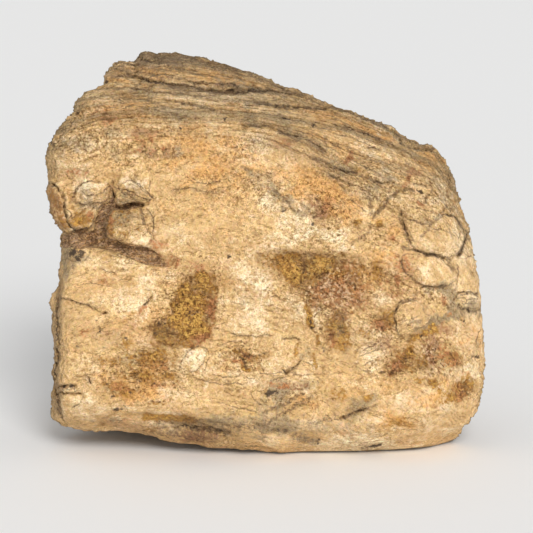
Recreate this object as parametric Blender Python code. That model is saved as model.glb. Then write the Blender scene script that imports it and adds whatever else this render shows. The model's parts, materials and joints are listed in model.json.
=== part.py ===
"""Petrified wood: one broken chunk of a silicified trunk, standing on its underside.

The stone is laid out on its broad face in millimetres: x runs to the right, h runs up the
face and d runs into the stone. A subdivided block is wrapped to the broken outline, the
face is then shaped with lumps, ledges and grooves, the whole leans back, and a cutter
takes off the underside to the flat that the stone rests on.
"""

import math

import bpy
import bmesh
import numpy as np
from mathutils import Vector, noise

NAME = "petrified_wood"
MM = 0.001

# Driving dimensions, in millimetres and degrees.
LEAN_DEG = 12.0            # how far the face leans back
BACK_DEPTH = 82.0          # from the plane of the face to the back
REST_LEVEL = -71.0         # height of the flat underside, before the stone is set on z = 0
CENTRE_X = -0.5            # middle of the stone's width, which is set on x = 0
CENTRE_Y = 34.3            # middle of the leaning stone's depth, which is set on y = 0
TOP_SETBACK = 42.0         # how far the top edge lies behind the face, at its peak
TOP_SETBACK_LEFT = 20.0    # the same, at its left end
TOP_SETBACK_RIGHT = 18.0   # the same, at its right end
TOP_BAND = 25.0            # height of the sloping band of wood grain under the top edge
RIGHT_SETBACK = 15.0
RIGHT_ROUND = 24.0         # width of the rounded right side
BOTTOM_SETBACK = 17.0
BOTTOM_ROUND = 12.0        # height of the band that turns under
LEFT_SETBACK = 9.0
LEFT_ROUND = 6.0
RING_STEP = 4.2            # spacing of the ridges left by the growth rings
RING_RISE = 2.6            # their height, measured into the stone
LAYER_STEP = 9.0           # thickness of the wood layers that the sides and back broke along

SEED = 4                   # fixes the random offsets of the noise
CUTS = 88                  # cuts along each edge of the block
TRIANGLES = 9000           # faces kept after thinning

# The broken outline of the face, (x, h), each edge from left to right or bottom to top.
TOP_EDGE = [
    (-58, 77), (-56, 78), (-52, 77), (-50, 78), (-48, 80), (-46, 81.5), (-42, 82), (-31, 80.5),
    (-20, 77.5), (-8, 73.5), (1, 70), (11, 67), (15, 64.5), (22, 62.5), (34, 57.5), (41, 53.5),
    (47, 51), (49, 49), (53, 48.5), (57, 46), (61, 46), (64, 42),
]
RIGHT_EDGE = [
    (68, -65.5), (70, -63), (75, -58), (77.5, -54), (79.5, -45.5), (80, -36), (80, -29), (79, -22),
    (78.5, -10.5), (77, 0), (75, 10), (73.5, 17.5), (70.5, 26.5), (67, 35.5), (64, 42),
]
BOTTOM_EDGE = [
    (-79.5, -56), (-74, -58), (-66, -60.5), (-57, -60.5), (-43, -61.5), (-35, -65), (-27, -65),
    (-18, -67.5), (-14, -67), (-3.5, -68), (5, -69.5), (11, -68.5), (30, -68.5), (45, -68),
    (60, -67), (68, -65.5),
]
LEFT_EDGE = [
    (-79.5, -56), (-79, -51), (-77.5, -44.5), (-78, -40), (-77, -34.5), (-77.5, -30), (-77, -26),
    (-78.5, -20), (-77.5, -17.5), (-79.5, -14), (-79, -10.5), (-77, -8), (-76, -3), (-75, 5.5),
    (-76, 11), (-74.5, 12.5), (-78.5, 17.5), (-79, 22), (-81, 28), (-80, 35.5), (-80.5, 43),
    (-78, 48.5), (-75.5, 51.5), (-73, 56), (-70.5, 57), (-71, 60), (-67.5, 63.5), (-60.5, 68),
    (-61, 69.5), (-60, 73.5), (-58, 77),
]

# The smaller outline of the back, in the same order of edges.
BACK_TOP = [(-47, 54), (-18, 62), (10, 49), (26, 44), (50, 33)]
BACK_RIGHT = [(58, -58), (66, -40), (65, -14), (60, 14), (50, 33)]
BACK_BOTTOM = [(-66, -56), (-30, -64), (10, -65), (58, -58)]
BACK_LEFT = [(-66, -56), (-69, -26), (-63, 2), (-66, 24), (-59, 42), (-47, 54)]

# Soft lumps (negative) and hollows (positive): x, h, half width, half height, turn, depth.
SWELLS = [
    (12, 17, 30, 22, 0, -3.0),       # the broad middle of the face
    (-44, 42, 20, 14, -15, -2.5),    # shoulder above the knot hole
    (-57, -26, 18, 20, 0, -2.5),     # lower left
    (-52, 14, 20, 12, -10, 3.0),     # the knot hole
    (-67, 17, 6, 4.5, 10, -2.4),     # chip standing in it, left
    (-50, 14, 8, 6.5, -15, -2.8),    # chip standing in it, right
    (-29, -13, 11, 14, -20, 2.2),    # worn hollow left of the middle
    (-37, -24, 6, 4, 30, 1.4),       # its deepest end
    (-26, -33.5, 6, 4.5, 20, -1.8),  # pale lobe under it
    (22, -4, 17, 10, -8, 2.0),       # worn hollow right of the middle
    (33, -17, 6, 9, -35, 1.2),
    (58, 15, 9, 9, 0, -1.6),         # plates between the cracks on the right
    (60, -2, 9, 5, 20, -1.2),
    (57, -14, 10, 5, 30, -1.4),
    (52, -33, 13, 8, 5, 1.8),        # pitted hollow, lower right
    (72, -44, 4, 3, 0, 1.6),
    (70, -34, 8, 5, 30, -1.6),
    (54, -50, 16, 6, 8, -2.6),       # swelling along the lower right
    (22, -48, 18, 5, -6, 1.2),       # shallow trough above the lower edge
    (-12, -34, 10, 5, 0, 1.0),
    (-31, -57, 16, 3.5, -8, 3.0),    # undercut of the lower left
    (5, -60, 4, 3, 0, 2.4),          # small hole at the lower edge
    (20, -61, 12, 4, 0, 1.5),
]

# Ledges: the side to the left of each line is set back by the drop, fading over the reach.
LEDGES = [
    ([(-84, 32), (-80, 31), (-76, 28.5), (-74, 25), (-74, 21), (-73, 17), (-70, 13.5)], 6.0, 12),
    ([(-75.5, -3), (-75.5, -10), (-76, -18), (-80, -22)][::-1], 4.0, 7),
    ([(-80, -58), (-75, -52), (-76.5, -45), (-80, -43)], 3.0, 6),
    ([(-20, 69), (-34, 73), (-46, 74.5)], 2.4, 7),
    ([(-15, 66), (-38, 68), (-50, 70.5), (-60, 69.5)], 3.6, 9),
    ([(0, 58), (-22, 61.5), (-38, 63.5), (-48, 64)], 2.6, 7),
    ([(-30, 54), (-50, 57), (-62, 58), (-71, 57)], 3.0, 8),
    ([(45, 50.5), (48, 47.5), (51, 44), (54, 43), (62, 42)], 4.0, 6),
    ([(47, -4), (29, 3), (14, 5), (1, 5)], 1.6, 12),
    ([(77, -29), (64, -40), (48, -43), (30, -52), (12, -50)], 1.6, 9),
]

# The same on the back, where a drop is a step towards the face.
BACK_LEDGES = [
    ([(-72, 18), (-40, 15), (-30, 6), (-6, 9), (4, -1), (30, -3), (44, -14), (72, -18)], 8.0, 70),
    ([(10, -62), (4, -48), (12, -36), (2, -22), (8, -8)], 5.0, 34),
    ([(30, 46), (16, 30), (22, 18), (8, 10)], 4.0, 30),
    ([(-70, -20), (-46, -22), (-24, -32), (4, -34)], -3.0, 16),
]

# Grooves: points along the line, full width, depth.
GROOVES = [
    ([(-78, 11.5), (-68, 10), (-60, 8.5), (-50, 6.5), (-43, 4), (-35, 1.5)], 4.4, 3.4),
    ([(-56.5, 29), (-57, 23), (-58.5, 18), (-62, 10)], 4.2, 3.2),
    ([(-58, 20.5), (-52, 22), (-45, 23)], 2.6, 2.0),
    ([(-77, -11), (-69, -13), (-62, -15), (-57, -17), (-54, -15)], 2.0, 1.2),
    ([(-41, -10), (-48, -18)], 2.4, 1.0),
    ([(-77, -44), (-69, -44), (-68, -50)], 2.4, 1.2),
    ([(-35, -58.5), (-27, -58.5), (-20, -59), (-14, -61.5)], 3.4, 2.0),
    ([(26, -55), (37, -52)], 2.6, 1.2),
    ([(11, -34), (8, -39), (5, -38)], 2.0, 1.0),
    ([(19, 36), (35, 32.5), (45, 30)], 2.2, 1.0),
    ([(52, 28), (45, 25), (39, 18)], 2.2, 1.1),
    ([(50, 19), (50, 13), (53, 8), (58, 5), (64, 4), (70, 4), (73, 13)], 2.4, 1.5),
    ([(47, 4), (51, -2), (56, -7), (63, -8), (68, -5), (69, -1), (64, 4)], 2.4, 1.3),
    ([(47, -16), (47.5, -24), (50, -26)], 2.0, 1.0),
]


def clear_scene():
    """Take every object out of the open scene."""
    for obj in list(bpy.data.objects):
        bpy.data.objects.remove(obj, do_unlink=True)


def new_collection(name):
    """Add an empty collection to the scene."""
    collection = bpy.data.collections.new(name)
    bpy.context.scene.collection.children.link(collection)
    return collection


def stone_material():
    """Cream and tan silica with a dull, dry surface."""
    material = bpy.data.materials.new("cream silica")
    material.use_nodes = True
    shader = material.node_tree.nodes["Principled BSDF"]
    shader.inputs["Base Color"].default_value = (0.68, 0.47, 0.27, 1.0)
    shader.inputs["Roughness"].default_value = 0.82
    shader.inputs["Metallic"].default_value = 0.0
    return material


def along(edge, t):
    """Points at the fractions t of an edge's length."""
    points = np.array(edge, dtype=float)
    steps = np.hypot(*np.diff(points, axis=0).T)
    length = np.concatenate(([0.0], np.cumsum(steps))) / steps.sum()
    return np.stack((np.interp(t, length, points[:, 0]), np.interp(t, length, points[:, 1])), axis=1)


def patch(u, v, bottom, right, top, left):
    """Points (x, h) of a sheet stretched between four edges."""
    ends = np.array([0.0, 1.0])
    (low_left, low_right), (high_left, high_right) = along(bottom, ends), along(top, ends)
    u2, v2 = u[:, None], v[:, None]
    rails = (1 - v2) * along(bottom, u) + v2 * along(top, u)
    ribs = (1 - u2) * along(left, v) + u2 * along(right, v)
    corners = ((1 - u2) * (1 - v2) * low_left + u2 * (1 - v2) * low_right
               + (1 - u2) * v2 * high_left + u2 * v2 * high_right)
    return rails + ribs - corners


def smooth(value):
    """Ease from 0 to 1 as the value goes from 0 to 1."""
    value = np.clip(value, 0.0, 1.0)
    return value * value * (3 - 2 * value)


def path_distance(x, h, path):
    """Distance to a line of points, and which side of it: 1 on its left, -1 on its right."""
    best = np.full(x.shape, 1e9)
    side = np.ones(x.shape)
    for (x0, h0), (x1, h1) in zip(path[:-1], path[1:]):
        run_x, run_h = x1 - x0, h1 - h0
        t = np.clip(((x - x0) * run_x + (h - h0) * run_h) / (run_x ** 2 + run_h ** 2), 0, 1)
        gap = np.hypot(x - x0 - t * run_x, h - h0 - t * run_h)
        turn = np.where(run_x * (h - h0) - run_h * (x - x0) >= 0, 1.0, -1.0)
        nearer = gap < best - 1e-6
        side = np.where(nearer, turn, side)
        best = np.minimum(best, gap)
    return best, side


def turned_over(gap, reach, amount, power):
    """Set-back of a side that curves away within its reach of the edge."""
    return amount * np.clip(1 - gap / reach, 0, 1) ** power


def swells(x, h):
    """Soft lumps and hollows of the face."""
    depth = np.zeros(x.shape)
    for cx, ch, half_width, half_height, turn, amount in SWELLS:
        c, s = math.cos(math.radians(turn)), math.sin(math.radians(turn))
        a = ((x - cx) * c + (h - ch) * s) / half_width
        b = (-(x - cx) * s + (h - ch) * c) / half_height
        depth += amount * np.exp(-(a * a + b * b) ** 1.5)
    return depth


def ledges(x, h, lines):
    """Steps where a plate of the stone has broken away."""
    depth = np.zeros(x.shape)
    for path, drop, reach in lines:
        gap, side = path_distance(x, h, path)
        depth += drop * smooth(0.5 + 0.5 * side * gap / 1.4) * smooth(1.2 - gap / reach)
    return depth


def grooves(x, h):
    """Open cracks."""
    depth = np.zeros(x.shape)
    for path, width, amount in GROOVES:
        gap, _ = path_distance(x, h, path)
        depth = np.maximum(depth, amount * smooth(1.15 - gap / (0.5 * width + 0.6)))
    return depth


def waviness(x, h):
    """Low, uneven lumps all over the face."""
    places = [Vector((a, b, 0.0)) for a, b in zip(x, h)]
    coarse = np.array([noise.noise(place / 17.0) for place in places])
    fine = np.array([noise.noise(place / 7.0 + Vector((0, 0, 9))) for place in places])
    return 1.5 * coarse + 0.9 * fine


def face_depth(x, h):
    """Depth of the face at each point: a shallow dome, its turned edges and its forms."""
    gap_top, _ = path_distance(x, h, TOP_EDGE)
    gap_right, _ = path_distance(x, h, RIGHT_EDGE)
    gap_bottom, _ = path_distance(x, h, BOTTOM_EDGE)
    gap_left, _ = path_distance(x, h, LEFT_EDGE)
    setback = np.interp(x, [-64, -44, 64], [TOP_SETBACK_LEFT, TOP_SETBACK, TOP_SETBACK_RIGHT])
    band = np.interp(x, [-75, -52, 64], [10, TOP_BAND, TOP_BAND])
    grain = smooth(1.3 - gap_top / band)
    depth = 3.0 * ((x + 5) / 75) ** 2 + 4.0 * ((h + 10) / 65) ** 2 - 3.0
    depth += turned_over(gap_top, band, setback, 1.6)
    depth += turned_over(gap_right, RIGHT_ROUND, RIGHT_SETBACK, 2.2)
    depth += turned_over(gap_bottom, BOTTOM_ROUND, BOTTOM_SETBACK, 1.8)
    depth += turned_over(gap_left, LEFT_ROUND, LEFT_SETBACK, 1.5)
    # The staircase of broken layers at the upper left also stands further back.
    depth += 12.0 * smooth((h - 52) / 30) * smooth(1 - (x + 80) / 40)
    ring = (gap_top + 1.5 * np.sin(x / 17) + 0.9 * np.sin(x / 7 + h / 5)) / RING_STEP
    depth += grain * RING_RISE * (0.6 - np.abs(np.sin(math.pi * ring)))
    return depth + swells(x, h) + ledges(x, h, LEDGES) + grooves(x, h) + waviness(x, h)


def back_depth(x, h):
    """Depth of the back: a low dome that split off in plates along and across the grain."""
    dome = 9.0 * ((x / 70) ** 2 + ((h + 4) / 62) ** 2)
    return BACK_DEPTH - dome - ledges(x, h, BACK_LEDGES) + 0.05 * x


def rough(points, weight):
    """Push the sides and the back in and out in lumps and in steps along the wood layers."""
    layer_normal = Vector((0.27, 0.83, -0.47))
    moved = points.copy()
    for i, (point, share) in enumerate(zip(points, weight)):
        if share <= 0.0:
            continue
        place = Vector(point)
        lump = noise.noise_vector(place / 34.0) * 5.0 + noise.noise_vector(place / 13.0) * 1.8
        layer = (place.dot(layer_normal) + 6.0 * noise.noise(place / 30.0)) / LAYER_STEP
        rise = layer - math.floor(layer)
        stair = min(rise / 0.68, (1.0 - rise) / 0.32)
        rise_out = point[1] if point[1] > 0 else 0.2 * point[1]
        away = Vector((point[0], rise_out, (point[2] - 45.0) * 1.6)).normalized()
        moved[i] += share * np.array(lump + away * (2.0 * stair - 3.6))
    return moved


def wrapped_block():
    """A block cut into small squares and wrapped to the stone's outline."""
    mesh = bmesh.new()
    bmesh.ops.create_cube(mesh, size=1.0)
    bmesh.ops.subdivide_edges(mesh, edges=mesh.edges[:], cuts=CUTS, use_grid_fill=True)
    unit = np.array([v.co[:] for v in mesh.verts]) + 0.5
    u, w, v = np.clip(unit, 0.0, 1.0).T
    front = patch(u, v, BOTTOM_EDGE, RIGHT_EDGE, TOP_EDGE, LEFT_EDGE)
    back = patch(u, v, BACK_BOTTOM, BACK_RIGHT, BACK_TOP, BACK_LEFT)
    inward = (w ** 1.9)[:, None]
    place = front + (back - front) * inward
    near, far = face_depth(*front.T), back_depth(*back.T)
    depth = near + (far - near) * w
    points = rough(np.column_stack((place, depth)), smooth((w - 0.03) / 0.25))

    lean = math.radians(LEAN_DEG)
    x, h, d = points.T
    level = h * math.cos(lean) - d * math.sin(lean) - REST_LEVEL
    y = h * math.sin(lean) + d * math.cos(lean) - CENTRE_Y
    for vert, co in zip(mesh.verts, np.column_stack((x - CENTRE_X, y, level)) * MM):
        vert.co = co
    bmesh.ops.triangulate(mesh, faces=mesh.faces[:])
    bmesh.ops.recalc_face_normals(mesh, faces=mesh.faces[:])
    return mesh


def add_object(name, mesh, collection):
    """Make a bmesh into an object of the given collection."""
    data = bpy.data.meshes.new(name)
    mesh.to_mesh(data)
    mesh.free()
    obj = bpy.data.objects.new(name, data)
    collection.objects.link(obj)
    return obj


def ground_cutter(collection):
    """A slab under z = 0 that leaves the underside flat."""
    mesh = bmesh.new()
    bmesh.ops.create_cube(mesh, size=0.4)
    bmesh.ops.translate(mesh, verts=mesh.verts[:], vec=(0, 0, -0.2))
    cutter = add_object("ground_cutter", mesh, collection)
    cutter.hide_render = True
    cutter.display_type = "WIRE"
    return cutter


def build_stone(parts, cutters):
    """The whole stone: wrapped block, thinned, with its underside cut flat."""
    stone = add_object(NAME, wrapped_block(), parts)
    stone.data.materials.append(stone_material())
    stone.data.shade_smooth()
    thin = stone.modifiers.new("thin faces", "DECIMATE")
    thin.ratio = TRIANGLES / len(stone.data.polygons)
    rest = stone.modifiers.new("resting flat", "BOOLEAN")
    rest.operation = "DIFFERENCE"
    rest.solver = "EXACT"
    rest.object = ground_cutter(cutters)
    return stone


noise.seed_set(SEED)
clear_scene()
build_stone(new_collection(NAME), new_collection("cutters"))
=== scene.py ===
"""Petrified wood: the finished surface of one broken chunk of a silicified trunk, on its stage.

The stone's solid is copied and remeshed finely, and its surface is carved in code: grain along
the wood layers, ledges, cracks, flakes and pits. Stains and veins are kept on the mesh as
numbers at each point, and the material turns them into colour, broken up by its own noise.
Some of those numbers are painted shade: on the bottom band, along the top and right rims, in
the hollows and on the sides and back; a few are painted light.

Places are given as they are seen from the front, in millimetres: x to the right and h up the
face, on the plane at AIM_DEPTH where the view is true to size. d runs into the stone.
"""

import json
import math

import bpy
import numpy as np
from bpy.props import FloatProperty, FloatVectorProperty, PointerProperty
from mathutils import Matrix, Vector

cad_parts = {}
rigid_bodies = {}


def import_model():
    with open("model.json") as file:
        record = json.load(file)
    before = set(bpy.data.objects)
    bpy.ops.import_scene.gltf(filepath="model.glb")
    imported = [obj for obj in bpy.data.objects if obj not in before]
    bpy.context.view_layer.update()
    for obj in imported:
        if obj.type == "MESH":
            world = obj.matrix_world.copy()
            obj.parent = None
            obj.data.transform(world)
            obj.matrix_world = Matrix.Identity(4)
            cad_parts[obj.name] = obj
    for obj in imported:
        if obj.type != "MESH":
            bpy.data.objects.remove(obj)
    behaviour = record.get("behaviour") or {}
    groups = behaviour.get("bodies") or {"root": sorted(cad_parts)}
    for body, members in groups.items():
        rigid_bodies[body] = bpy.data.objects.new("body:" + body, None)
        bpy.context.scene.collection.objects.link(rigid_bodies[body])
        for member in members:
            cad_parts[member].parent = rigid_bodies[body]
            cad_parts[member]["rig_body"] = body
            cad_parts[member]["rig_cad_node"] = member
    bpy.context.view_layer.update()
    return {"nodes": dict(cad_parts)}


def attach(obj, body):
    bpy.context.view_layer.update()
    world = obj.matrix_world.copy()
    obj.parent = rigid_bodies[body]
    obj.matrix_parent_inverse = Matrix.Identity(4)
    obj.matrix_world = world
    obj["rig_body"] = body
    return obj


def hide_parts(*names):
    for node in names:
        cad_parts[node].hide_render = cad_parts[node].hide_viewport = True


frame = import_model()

bl_info = {
    "name": "Petrified wood",
    "version": (1, 0, 0),
    "blender": (4, 5, 0),
    "location": "View3D > Sidebar > Petrified wood",
    "description": "Carves, stains and lights one chunk of petrified wood",
    "category": "Object",
}

NODE = "petrified_wood"
PIECE = "stone_surface"
BODY = "root"
MM = 0.001

# The face's own frame: it leans back, and its origin lies here in the part's frame.
LEAN = math.radians(12)
FACE_ORIGIN = (0.5, -34.3, 71.0)
VIEW_DISTANCE = 1000.0      # from the eye to the plane of true size
AIM_DEPTH = 8.0             # that plane, seen into the stone from the face's origin
LAYERS = (0.27, 0.83, -0.47)    # across the wood layers, in the face's frame

# Curves that the grain of the upper band follows, from its top edge down.
GRAIN_GUIDES = [
    [(-61, 76.5), (-46.5, 78.5), (-23, 75.5), (3, 67.5), (32.5, 56.5), (45.5, 50), (62, 42),
     (74.5, 24.5)],
    [(-75.5, 70), (-57, 72.5), (-45.5, 69), (-31.5, 66.5), (-13, 65.5), (0, 64.5), (12.5, 62),
     (32.5, 55), (45.5, 48.5), (62, 40.5), (74.5, 22.5)],
    [(-70, 61), (-47.5, 64), (-38.5, 63), (-24.5, 61.5), (-8.5, 59.5), (8, 58.5), (23, 55.5),
     (38, 48.5), (49, 43.5), (62, 38), (74.5, 20)],
    [(-75.5, 52), (-61, 56.5), (-46.5, 58), (-31.5, 56.5), (-18.5, 56.5), (-1.5, 54.5), (15, 52),
     (28.5, 49), (42.5, 44), (60, 37), (74.5, 16.5)],
    [(-79, 46.5), (-61, 53), (-46.5, 53.5), (-31.5, 53), (-9.5, 52), (4, 49.5), (15, 46),
     (22.5, 41.5), (30.5, 35.5), (45.5, 30), (60, 27.5), (77.5, 6)],
    [(-79, 39), (-53.5, 46.5), (-24.5, 46.5), (-2.5, 42.5), (19.5, 32.5), (34, 24.5), (56, 15),
     (78, -8.5)],
]
GUIDE_SPACING = 6.0         # millimetres across the grain from one guide to the next
FIRST_GUIDE = 62.0          # the first guide's place across the grain
BAND_GUIDES = 5.4           # how many guides down the band of open grain ends

# Open cracks: points, width, depth, and how far the side on the line's left stands proud.
CRACKS = [
    ([(-80.5, 31.5), (-79, 30), (-76.5, 29), (-75, 27.5), (-74, 25), (-74, 22.5), (-73.5, 20),
      (-73, 18), (-72.5, 15.5), (-71, 14), (-69.5, 13), (-67, 13.5)], 1.0, 2.2, 0.9),
    ([(-77, -11), (-76.5, -14), (-77, -18), (-76.5, -21.5), (-76.5, -25), (-77, -28.5), (-76.5, -32.5),
      (-77, -36), (-77.5, -39.5), (-78, -43.5), (-77.5, -46.5), (-76.5, -48), (-76.5, -50.5),
      (-75.5, -53.5), (-75, -55.5), (-73.5, -57.5)], 1.0, 1.4, 0.0),
    ([(-56.5, 28.5), (-56, 25.5), (-57.5, 23)], 0.9, 1.2, 0.3),
    ([(-56, 21.5), (-53, 21), (-50, 22), (-45, 23)], 1.2, 1.6, 0.5),
    ([(-76, -11), (-74, -12), (-72, -12), (-69, -13.5), (-66.5, -14), (-64, -15), (-61, -16),
      (-57.5, -17.5)], 0.7, 0.9, 0.5),
    ([(-41.5, -10.5), (-43, -12.5), (-45, -14)], 1.1, 0.8, 0.3),
    ([(-77, -44), (-72, -43.7), (-69.5, -44)], 0.7, 0.8, 0.5),
    ([(-77, -46.3), (-74, -46.3), (-70, -46.7), (-67, -46)], 1.2, 1.2, 0.7),
    ([(-66, -39.5), (-64, -42.5)], 0.8, 0.8, 0.0),
    ([(-79, 44), (-75.5, 46.5)], 1.0, 1.2, 0.5),
    ([(-35.5, 27.5), (-28.5, 29.5), (-23, 26.5), (-17, 27.5)], 0.2, 0.15, 0.05),
    ([(-13.5, -24.5), (-8, -25.5), (-4, -25.5), (-0.5, -25), (3, -25.5)], 0.45, 0.5, 0.2),
    ([(5.5, -26.3), (8, -26), (11, -26), (12.5, -27.5)], 0.6, 0.6, 0.2),
    ([(12.5, -34), (11, -35.5), (9, -37.5), (7.5, -39), (5.5, -38)], 1.1, 1.2, 0.5),
    ([(1.5, -11), (4, -11), (6, -12.5), (8, -13.5), (10, -14), (11, -16), (12, -17)], 0.5, 0.5, 0.2),
    ([(49, 20.5), (49.5, 18), (50.5, 14), (52, 10.5), (53, 7.5), (55.5, 5.5), (58.5, 4.5),
      (63.5, 3.5), (67, 3)], 0.7, 0.7, -0.4),
    ([(73.5, 12.5), (73, 10.5), (72, 8), (71, 5.5), (70, 3.5)], 0.9, 1.2, 0.5),
    ([(56, -7), (60, -8), (63, -7.5), (66, -6.5)], 0.6, 0.6, 0.5),
    ([(48, -14.5), (47, -17), (47, -20.5), (48, -24.5), (49, -26)], 0.5, 0.6, 0.4),
    ([(69, -13), (69.5, -11), (72, -9.5), (76.5, -9.5), (78.5, -10.5)], 0.5, 0.5, -0.3),
    ([(69.5, -13.5), (71, -15.5), (76.5, -16.5), (78.5, -15)], 0.4, 0.5, 0.3),
    ([(26.5, -55), (31.5, -53.5), (37, -52.5)], 0.6, 0.8, 0.3),
    ([(-34.5, -58.5), (-27, -58.5), (-20, -59), (-14.5, -61.5)], 0.35, 0.7, 0.3),
]

# Dark seams along the grain of the upper band: points, width, depth.
SEAMS = [
    ([(-57, 72.5), (-49, 70), (-45.5, 68.5), (-38, 67.5), (-31.5, 66.5), (-20.5, 65), (-11, 64),
      (-4.5, 64)], 1.2, 1.0),
    ([(-31.5, 68.5), (-22.5, 67.5), (-13, 66.5), (-5.5, 64.5), (0, 64.5), (9.5, 63.5), (14.5, 63)],
     1.1, 1.0),
    ([(-31.5, 60), (-26, 59), (-18.5, 57.5)], 0.8, 0.7),
    ([(-8.5, 59), (2, 59.5), (8, 58.5), (18.5, 58), (23, 58)], 0.8, 0.8),
    ([(-9.5, 52), (-1.5, 51.5), (4, 49.5), (9.5, 48), (15, 46), (20.5, 43.5), (22.5, 41.5)], 0.6, 0.7),
    ([(23, 36), (30.5, 35), (35, 32.5), (42, 31), (45.5, 30)], 0.6, 0.7),
    ([(23, 33.5), (28.5, 31), (37, 28), (39.5, 26)], 0.5, 0.6),
    ([(23, 52), (28.5, 51), (34.5, 49), (42.5, 47)], 0.8, 0.8),
    ([(5.5, 54.5), (8, 54)], 0.8, 0.5),
    ([(37, 43.5), (42, 43)], 0.8, 0.5),
    ([(45, 50.5), (48, 48), (50.5, 44), (54.5, 43), (61.5, 42.5)], 1.4, 1.6),
]

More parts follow.
